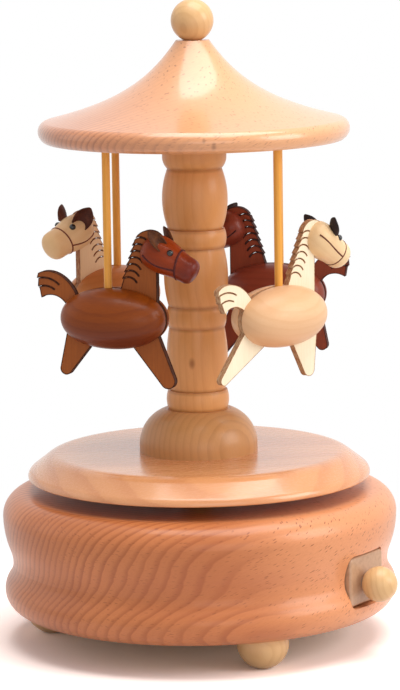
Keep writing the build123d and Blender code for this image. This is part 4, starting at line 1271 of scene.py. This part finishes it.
@dataclass
class Base:
    """The turned base with its feet, cover and the switch's plate."""

    screw_head: float = 1.8
    screw_depth: float = 1.0
    screw_length: float = 9.0
    screw_shank: float = 0.9
    screw_tip: float = 0.5
    thread_pitch: float = 0.8
    thread_end: float = 1.4
    taper: float = 2.5
    cross_depth: float = 0.55
    first_turn: float = 0.7
    next_turn: float = 1.9

    def build(self, carousel: Carousel) -> None:
        """Dresses the base's nodes and makes its screws.

        Args:
            carousel: The shared work.
        """
        carousel.dress("base_housing", BEECH_BASE)
        for node in ("foot_right", "foot_left", "foot_rear", "switch_knob"):
            carousel.dress(node, BIRCH_BALL)
        carousel.dress("bottom_cover", Plywood())
        carousel.dress("switch_plate", SWITCH_PLATE)
        carousel.dress("switch_stem", STEEL)
        carousel.dress("stop_wire", STEEL)
        self._screws(carousel)

    def _screw(self) -> bpy.types.Object:
        """One countersunk cross-head wood screw that points up, with its head's face at the origin.

        Returns:
            The screw.
        """
        profile = [(self.screw_head * share, level) for share, level in SCREW_HEAD_PROFILE]
        profile.append((self.screw_shank, self.screw_depth))
        height = self.screw_depth
        while height < self.screw_length - self.thread_end:
            crest = self.screw_shank * (1.0 if height < self.screw_length - self.taper else TAPER_SHARE)
            profile += [(crest * wide, height + self.thread_pitch * rise) for wide, rise in THREAD_PROFILE]
            height += self.thread_pitch
        profile.append((self.screw_shank * TIP_SHARE, self.screw_length - self.screw_tip))
        profile.append((0.0, self.screw_length))
        mesh = bmesh.new()
        loft(mesh, [self._screw_ring(radius, level) for radius, level in profile])
        return finish_mesh("cross_head_screw", mesh)

    def _screw_ring(self, radius: float, level: float) -> list[Vector]:
        """One ring of the screw's points. Those of the cross are sunk into the head's face.

        Args:
            radius: The ring's radius, in millimetres.
            level: Its height over the head's face, in millimetres.

        Returns:
            The points, in metres.
        """
        ring = []
        spread = max(radius, LEAST_RADIUS)
        for index in range(SCREW_SEGMENTS):
            angle = math.tau * index / SCREW_SEGMENTS
            arm = min(abs(math.cos(angle)), abs(math.sin(angle)))
            crossed = level == 0.0 and (radius == 0.0 or arm < CROSS_SHARE)
            height = level + (self.cross_depth if crossed else 0.0)
            ring.append(Vector((math.cos(angle) * spread, math.sin(angle) * spread, height)) * MM)
        return ring

    def _screws(self, carousel: Carousel) -> None:
        """Sets the screws where the frame has its plain ones.

        Args:
            carousel: The shared work.
        """
        node = carousel.frame["nodes"]["cover_screws"]
        centres = islands(node.data)
        screw = self._screw()
        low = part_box("cover_screws")[0].z
        places = [Vector((centre.x, centre.y, low)) for centre in centres]
        turns = [(0.0, 0.0, self.first_turn + self.next_turn * index) for index in range(len(places))]
        spots = points_object("cover_screw_spots", places, turns)
        rule = carousel.rule("set", scattered_rule)
        material = carousel.finish(SCREW_ZINC)
        made = rule.apply(spots, "cover_screws_threaded", {"Piece": screw, "Material": material})
        bpy.data.objects.remove(screw)
        carousel.seat(made, "base", "screw_steel", SCREW_ZINC, "cover_screws")


def islands(data: bpy.types.Mesh) -> list[Vector]:
    """The centres of a mesh's separate screws, told apart by how far their points lie from each other.

    Args:
        data: The mesh.

    Returns:
        One centre for each screw, in a fixed order.
    """
    groups: list[list[Vector]] = []
    for vertex in data.vertices:
        point = vertex.co.copy()
        home = next((g for g in groups if (g[0].xy - point.xy).length < SCREW_REACH), None)
        if home is None:
            groups.append([point])
        else:
            home.append(point)
    centres = []
    for group in groups:
        low = Vector((min(p.x for p in group), min(p.y for p in group), 0))
        high = Vector((max(p.x for p in group), max(p.y for p in group), 0))
        centres.append((low + high) / 2)
    return sorted(centres, key=lambda c: (round(c.x, 5), round(c.y, 5)))


@dataclass
class Movement:
    """The spring movement inside the base."""

    finishes: dict[str, Any] = field(
        default_factory=lambda: {
            "movement_bedplate": ZINC,
            "governor_frame": ZINC,
            "movement_screws": SCREW_ZINC,
            "comb_screws": SCREW_ZINC,
            "governor_screw": SCREW_ZINC,
            "hub_screws": SCREW_ZINC,
            "comb": COMB_STEEL,
            "spring_housing": STEEL,
            "mainspring": BLUED_STEEL,
            "winding_arbor": STEEL,
            "great_wheel": BRASS,
            "drive_hub": BRASS,
            "pinned_cylinder": BRASS,
            "cylinder_arbor": BRASS,
            "governor_wheel": BRASS,
            "governor_fan": NYLON,
        }
    )

    def build(self, carousel: Carousel) -> None:
        """Dresses the movement's nodes.

        Args:
            carousel: The shared work.
        """
        for node, finish in self.finishes.items():
            carousel.dress(node, finish)


@dataclass
class Turntable:
    """Platform, column, canopy, finial and rods."""

    finishes: dict[str, Any] = field(
        default_factory=lambda: {
            "platform": BEECH_PLATFORM,
            "column_foot": BIRCH_DOME,
            "column": COLUMN_WOOD,
            "column_dowel": BIRCH_BALL,
            "canopy": BEECH_CANOPY,
            "finial": BIRCH_BALL,
            "hanging_rods": ROD_WOOD,
        }
    )

    def build(self, carousel: Carousel) -> None:
        """Dresses the turntable's nodes.

        Args:
            carousel: The shared work.
        """
        for node, finish in self.finishes.items():
            carousel.dress(node, finish)


@dataclass
class Horse:
    """One horse: its sawn board, half-egg sides and egg head, with ears, eyes and a bridle."""

    name: str
    coat: Coat
    rod_angle: float
    heading: float
    middle: float = 97.9
    rod_circle: float = 34.1
    rod_offset: float = 1.8
    head_rear: tuple[float, float] = (9.2, 21.2)
    head_tilt: float = 28.0
    head_length: float = 17.6
    noseband: float = 12.0
    noseband_slant: float = -1.2
    cheek_angle: float = 106.0
    cheek_bulge: float = 8.0
    cheek_rise: float = -5.0
    cheek_end: float = 2.2
    ear_place: Point = (5.2, 3.5, 3.9)
    ear_axis: Point = (-0.5, 0.8, 0.46)
    ear_mouth: Point = (0.72, 0.2, 0.66)
    ear_length: float = 6.6
    ear_width: float = 4.4
    ear_roll: tuple[float, float] = (150.0, 80.0)
    ear_wall: float = 0.45
    ear_sink: float = 1.2
    eye_place: tuple[float, float] = (8.9, 2.8)
    eye_radius: float = 0.95
    eye_sink: float = 0.25
    # heights, from the body's middle, over which the body darkens downwards as painted shade
    belly_shade: tuple[float, float] = (-9.0, 3.0)
    muzzle_blend: float = 3.0
    widest: list[float] = field(default_factory=list, init=False)

    @property
    def forward(self) -> Vector:
        """The way the horse looks."""
        return Vector((math.cos(math.radians(self.heading)), math.sin(math.radians(self.heading)), 0))

    @property
    def origin(self) -> Vector:
        """The middle of its body, in millimetres."""
        angle = math.radians(self.rod_angle)
        rod = Vector((math.cos(angle), math.sin(angle), 0)) * self.rod_circle
        return rod + self.forward * self.rod_offset + Vector((0, 0, self.middle))

    @property
    def frame(self) -> Matrix:
        """Turns the horse's own forward, up and right into the model's frame, in metres."""
        right = self.forward.cross(Vector((0, 0, 1)))
        turn = Matrix((self.forward, Vector((0, 0, 1)), right)).transposed().to_4x4()
        return Matrix.Translation(self.origin * MM) @ turn @ Matrix.Scale(MM, 4)

    @property
    def head_frame(self) -> Matrix:
        """Turns the head's own along, up and right into the model's frame, in metres."""
        move = Matrix.Translation(Vector((self.head_rear[0], self.head_rear[1], 0)))
        return self.frame @ move @ Matrix.Rotation(-math.radians(self.head_tilt), 4, "Z")

    def build(self, carousel: Carousel) -> None:
        """Dresses the horse and adds its fine pieces.

        Args:
            carousel: The shared work.
        """
        colours = COATS[self.coat]
        self._dress(carousel, colours)
        self._measure(carousel)
        self._outline(carousel, colours)
        self._bridle(carousel, colours)
        self._ears(carousel, colours)
        self._eyes(carousel)

    def _dress(self, carousel: Carousel, colours: CoatColours) -> None:
        """Gives the horse's nodes their finishes.

        Args:
            carousel: The shared work.
            colours: The coat's colours.
        """
        board = SawnBoard(
            f"{self.name}_board_wood", colours.board, colours.board_grain, colours.scorch,
            self.heading, tuple(self.origin),
        )  # fmt: skip
        body = Wood(
            f"{self.name}_body_wood", colours.body, colours.body_grain, colours.body_grain,
            turn=(0, 0, self.heading), pith=(-14.0, 60.0), ring=2.0, ring_share=0.22, fleck_share=0.08,
            sway=1.5, mottle=0.7, roughness=0.36, coat=colours.gloss, specular=0.16,
            # the body darkens towards its bottom as painted shade
            under_shade=(self.middle + self.belly_shade[0], self.middle + self.belly_shade[1]), under_shade_colour=colours.belly_shade,
        )  # fmt: skip
        head = Wood(
            f"{self.name}_head_wood", colours.head, colours.head_grain, colours.head_grain,
            turn=(0, self.head_tilt, self.heading), pith=(-20.0, 30.0), ring=2.2, ring_share=0.22,
            fleck_share=0.08, sway=1.5, mottle=0.6, roughness=0.36, coat=colours.gloss, specular=0.16,
            centre=tuple(self.head_frame.translation / MM), tip_colour=colours.muzzle,
            tip=(self.noseband - self.muzzle_blend, self.head_length),
        )  # fmt: skip
        carousel.dress(f"{self.name}_board", board)
        carousel.dress(f"{self.name}_left_side", body)
        carousel.dress(f"{self.name}_right_side", body)
        carousel.dress(f"{self.name}_head", head)

    def _outline(self, carousel: Carousel, colours: CoatColours) -> None:
        """Follows the board's sawn edges with the line that the laser scorched.

        Args:
            carousel: The shared work.
            colours: The coat's colours.
        """
        node = carousel.frame["nodes"][f"{self.name}_board"]
        board = put(f"{self.name}_outline_source", node.data.copy())
        finish = Burnt(f"{self.name}_scorched_line", colours.scorch, colours.board_grain)
        rule = carousel.rule("sharp", sharp_edge_rule)
        values = {"Radius": colours.outline_radius * MM, "Material": carousel.finish(finish)}
        made = rule.apply(board, f"{self.name}_outline", values)
        carousel.seat(made, "turntable", "dark_leather", finish)

    def _measure(self, carousel: Carousel) -> None:
        """Reads the head's profile from its node, so that lines lie on its surface.

        Args:
            carousel: The shared work.
        """
        back = self.head_frame.inverted()
        data = carousel.frame["nodes"][f"{self.name}_head"].data
        self.widest = [0.0] * (PROFILE_STEPS + 1)
        for vertex in data.vertices:
            point = back @ vertex.co
            share = point.x / self.head_length
            if 0 <= share <= 1:
                index = round(share * PROFILE_STEPS)
                self.widest[index] = max(self.widest[index], math.hypot(point.y, point.z))

    def _profile(self, along: float) -> float:
        """The head's radius between two measured places.

        Args:
            along: Distance from the rear tip, in millimetres.

        Returns:
            The radius, in millimetres.
        """
        place = min(max(along / self.head_length, 0.0), 1.0) * PROFILE_STEPS
        low = min(int(place), PROFILE_STEPS - 1)
        share = place - low
        return self.widest[low] * (1 - share) + self.widest[low + 1] * share

    def _on_head(self, along: float, angle: float, sink: float = 0.0) -> Vector:
        """A point on the head's surface.

        Args:
            along: Distance from the rear tip, in millimetres.
            angle: Angle around the head, 0 at its top and 90 at its right cheek.
            sink: How far below the surface, in millimetres.

        Returns:
            The point in the model's frame, in metres.
        """
        radius = self._profile(along) - sink
        turn = math.radians(angle)
        return self.head_frame @ Vector((along, radius * math.cos(turn), radius * math.sin(turn)))

    def _bridle(self, carousel: Carousel, colours: CoatColours) -> None:
        """Lays the noseband and the two cheek lines on the head.

        Args:
            carousel: The shared work.
            colours: The coat's colours.
        """
        sink = colours.bridle_radius * LINE_SINK
        loop = []
        for step in range(NOSEBAND_STEPS + 1):
            angle = step * 360.0 / NOSEBAND_STEPS
            slant = self.noseband_slant * math.cos(math.radians(angle))
            loop.append(self._on_head(self.noseband + slant, angle, sink))
        runs = [loop]
        for side in (1, -1):
            cheek = []
            for step in range(CHEEK_STEPS + 1):
                share = step / CHEEK_STEPS
                along = self.noseband + share * (self.cheek_end - self.noseband)
                bulge = self.cheek_bulge * math.sin(share * math.pi)
                angle = self.cheek_angle + bulge - self.cheek_rise * share
                cheek.append(self._on_head(along, side * angle, sink))
            runs.append(cheek)
        lines = line_object(f"{self.name}_bridle_path", runs)
        finish = Burnt(f"{self.name}_bridle_line", colours.line, colours.line_light)
        rule = carousel.rule("lines", drawn_line_rule)
        values = {"Radius": colours.bridle_radius * MM, "Sides": BRIDLE_SIDES}
        values["Material"] = carousel.finish(finish)
        made = rule.apply(lines, f"{self.name}_bridle", values)
        carousel.seat(made, "turntable", "dark_leather", finish)

    def _ears(self, carousel: Carousel, colours: CoatColours) -> None:
        """Makes the two leather ears: rolled leaves, open to the front.

        Args:
            carousel: The shared work.
            colours: The coat's colours.
        """
        mesh = bmesh.new()
        for side in (1, -1):
            self._ear(mesh, side)
        made = finish_mesh(f"{self.name}_ear_leaves", mesh)
        wall = made.modifiers.new("wall", "SOLIDIFY")
        wall.thickness = self.ear_wall * MM
        wall.offset = 0.0
        soft = made.modifiers.new("soft", "SUBSURF")
        soft.levels = soft.render_levels = 2
        made = to_plain_mesh(made, f"{self.name}_leather_ears")
        for polygon in made.data.polygons:
            polygon.use_smooth = True
        finish = Leather(f"{self.name}_ear_leather", colours.ear, colours.ear_worn)
        carousel.seat(made, "turntable", "dark_leather", finish, f"{self.name}_ears")

    def _ear(self, mesh: bmesh.types.BMesh, side: int) -> None:
        """Adds one ear's leaf to the mesh.

        Args:
            mesh: The working mesh.
            side: 1 for the horse's right, -1 for its left.
        """
        along, up, out = self.ear_place
        root = self.head_frame @ Vector((along, up, side * out))
        turn = self.frame.to_3x3().normalized()
        axis = (turn @ Vector((self.ear_axis[0], self.ear_axis[1], self.ear_axis[2] * side))).normalized()
        mouth = turn @ Vector((self.ear_mouth[0], self.ear_mouth[1], self.ear_mouth[2] * side))
        mouth = (mouth - axis * mouth.dot(axis)).normalized()
        across = axis.cross(mouth).normalized()
        grid = []
        for row in range(EAR_ROWS):
            share = row / (EAR_ROWS - 1)
            swell = EAR_ROOT + EAR_SWELL * share - EAR_FALL * share**2
            wide = self.ear_width / 2 * swell * (1 - share**EAR_POINT) + EAR_TIP
            roll = math.radians(self.ear_roll[0] + (self.ear_roll[1] - self.ear_roll[0]) * share)
            bend = wide / math.sin(roll / 2)
            line = []
            for column in range(EAR_COLUMNS):
                swing = (column / (EAR_COLUMNS - 1) - 0.5) * roll
                depth = bend * (1 - math.cos(swing)) - wide * EAR_INSET
                height = self.ear_length * share - self.ear_sink - EAR_ARCH * math.cos(swing)
                point = axis * height + across * (bend * math.sin(swing)) + mouth * depth
                line.append(mesh.verts.new(root + point * MM))
            grid.append(line)
        for low, high in zip(grid[:-1], grid[1:]):
            for index in range(EAR_COLUMNS - 1):
                mesh.faces.new((low[index], low[index + 1], high[index + 1], high[index]))

    def _eyes(self, carousel: Carousel) -> None:
        """Makes the two bead eyes.

        Args:
            carousel: The shared work.
        """
        mesh = bmesh.new()
        along, up = self.eye_place
        radius = self._profile(along)
        out = math.sqrt(max(radius**2 - up**2, 0.0)) - self.eye_sink
        size = {"u_segments": EYE_SEGMENTS, "v_segments": EYE_RINGS, "radius": self.eye_radius * MM}
        for side in (1, -1):
            centre = self.head_frame @ Vector((along, up, side * out))
            bmesh.ops.create_uvsphere(mesh, matrix=Matrix.Translation(centre), **size)
        made = finish_mesh(f"{self.name}_bead_eyes", mesh)
        carousel.seat(made, "turntable", "bead_black", BEAD, f"{self.name}_eyes")


@dataclass
class Herd:
    """The four horses."""

    horses: tuple[Horse, ...] = (
        Horse("brown_horse", Coat.BROWN, 223.1, -20.0),
        Horse(
            "cream_horse", Coat.CREAM, 313.1, 43.0, rod_offset=0.2, head_rear=(11.6, 23.2), head_tilt=34.0,
            head_length=16.9, noseband=13.0, noseband_slant=0.0, cheek_bulge=2.0, cheek_rise=12.0,
            cheek_end=1.4, ear_axis=(-0.3, 0.85, 0.5), ear_mouth=(0.95, 0.2, 0.2), ear_width=4.6,
            ear_length=6.0,
        ),
        Horse("dark_horse", Coat.DARK, 43.1, 163.0),
        Horse(
            "pale_horse", Coat.PALE, 133.1, 221.0, head_rear=(9.0, 22.0), head_tilt=22.0, head_length=16.6,
            noseband=10.9, noseband_slant=0.4, ear_axis=(-0.3, 0.8, 0.52), ear_mouth=(0.35, 0.2, 0.9),
            ear_length=6.8, ear_width=6.2, eye_place=(8.1, 3.3),
        ),
    )  # fmt: skip

    def build(self, carousel: Carousel) -> None:
        """Builds each horse.

        Args:
            carousel: The shared work.
        """
        for horse in self.horses:
            horse.build(carousel)


# ---------------------------------------------------------------------------------------------- studio


@dataclass(frozen=True)
class SoftBox:
    """A square soft light: its place and side in metres, its power in watts and its colour."""

    name: str
    place: Point
    side: float
    power: float
    colour: Colour


@dataclass
class Studio:
    """Floor, light and camera. The soft boxes are a strong one overhead and three weaker ones around."""

    focal_px: float = 3357.0
    sensor: float = 36.0
    image_height: float = 690.0
    distance: float = 964.0
    height: float = 237.0
    pitch: float = 8.9
    yaw: float = 0.05
    roll: float = -0.88
    floor_size: float = 6000.0
    shadow_reach: tuple[float, float] = (66.0, 150.0)
    floor_lighting: Colour = (0.6, 0.58, 0.57)
    floor_shown: Colour = (1.4, 1.24, 1.2)
    sky: Colour = (1.0, 0.985, 0.97)
    sky_strength: float = 0.46
    target: Point = (0.0, 0.0, 0.09)
    boxes: tuple[SoftBox, ...] = (
        SoftBox("box_over", (0.12, -0.05, 1.0), 0.8, 9.6, (1.0, 0.99, 0.97)),
        SoftBox("box_right", (0.95, -0.35, 0.50), 0.6, 5.5, (1.0, 0.98, 0.96)),
        SoftBox("box_left", (-0.95, 0.10, 0.40), 0.6, 0.5, (1.0, 0.97, 0.98)),
        SoftBox("box_front", (0.25, -1.10, 0.12), 0.7, 2.0, (1.0, 0.98, 0.97)),
    )

    def build(self) -> None:
        """Sets up the studio."""
        scene = bpy.context.scene
        scene.view_settings.view_transform = "Standard"
        self._camera(scene)
        self._world(scene)
        self._floor()
        self._lamps()

    def _camera(self, scene: bpy.types.Scene) -> None:
        """Places the camera where the photograph was taken from.

        Args:
            scene: The scene.
        """
        pitch, yaw, roll = (math.radians(a) for a in (self.pitch, self.yaw, self.roll))
        look = Vector((math.sin(yaw) * math.cos(pitch), math.cos(yaw) * math.cos(pitch), -math.sin(pitch)))
        right = look.cross(Vector((0, 0, 1))).normalized()
        up = right.cross(look)
        turned = right * math.cos(roll) + up * math.sin(roll)
        upright = up * math.cos(roll) - right * math.sin(roll)
        data = bpy.data.cameras.new("camera")
        data.sensor_width = self.sensor
        data.sensor_fit = "AUTO"
        data.lens = self.focal_px * self.sensor / self.image_height
        data.clip_start = 0.01
        data.clip_end = 20.0
        camera = put("camera", data)
        turn = Matrix((turned, upright, -look)).transposed().to_4x4()
        camera.matrix_world = Matrix.Translation(Vector((0, -self.distance, self.height)) * MM) @ turn
        scene.camera = camera

    def _world(self, scene: bpy.types.Scene) -> None:
        """White to the camera and in reflections, a plain soft light on the object.

        Args:
            scene: The scene.
        """
        world = bpy.data.worlds.new("studio")
        scene.world = world
        world.use_nodes = True
        graph = Tree(world.node_tree)
        light = graph.node("ShaderNodeBackground", None, {"Color": self.sky, "Strength": self.sky_strength})
        white = graph.node("ShaderNodeBackground", None, {"Color": (1, 1, 1), "Strength": 1.0})
        both = graph.node("ShaderNodeMixShader", None, {0: graph.seen(), 1: light, 2: white})
        out = graph.tree.nodes.new("ShaderNodeOutputWorld")
        graph.tree.links.new(both.socket, out.inputs["Surface"])

    def _floor(self) -> None:
        """A pale floor that the camera sees as white outside the shadow."""
        half = self.floor_size / 2 * MM
        data = bpy.data.meshes.new("floor")
        corners = [(-half, -half, 0), (half, -half, 0), (half, half, 0), (-half, half, 0)]
        data.from_pydata(corners, [], [(0, 1, 2, 3)])
        floor = put("floor", data)
        graph = Graph("studio_floor")
        graph.tree.nodes.remove(graph.shader)
        x, y, _ = graph.split(graph.place())
        away = (x * x + y * y).root().step(*self.shadow_reach)
        pale = graph.node("ShaderNodeBsdfDiffuse", None, {"Color": self.floor_lighting})
        bright = graph.node("ShaderNodeBsdfDiffuse", None, {"Color": self.floor_shown})
        white = graph.node("ShaderNodeEmission", None, {"Color": (1, 1, 1), "Strength": 1.0})
        shown = graph.node("ShaderNodeMixShader", None, {0: away, 1: bright, 2: white})
        both = graph.node("ShaderNodeMixShader", None, {0: graph.seen(), 1: pale, 2: shown})
        graph.tree.links.new(both.socket, graph.output.inputs["Surface"])
        data.materials.append(graph.material)

    def _lamps(self) -> None:
        """Hangs the soft boxes and turns them to the object."""
        for box in self.boxes:
            data = bpy.data.lights.new(box.name, "AREA")
            data.shape = "SQUARE"
            data.size = box.side
            data.energy = box.power
            data.color = box.colour
            lamp = put(box.name, data)
            lamp.location = Vector(box.place)
            aim = Vector(self.target) - Vector(box.place)
            lamp.rotation_euler = aim.to_track_quat("-Z", "Y").to_euler()


def main() -> None:
    """Builds the studio and every sub-assembly in order."""
    logging.basicConfig(level=logging.INFO, format="%(name)s: %(message)s")
    carousel = Carousel(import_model())
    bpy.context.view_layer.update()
    Studio().build()
    parts: Iterable[Any] = (Base(), Movement(), Turntable(), Herd())
    for part in parts:
        part.build(carousel)
        LOG.info("finished %s", type(part).__name__)


if __name__ == "__main__":
    main()
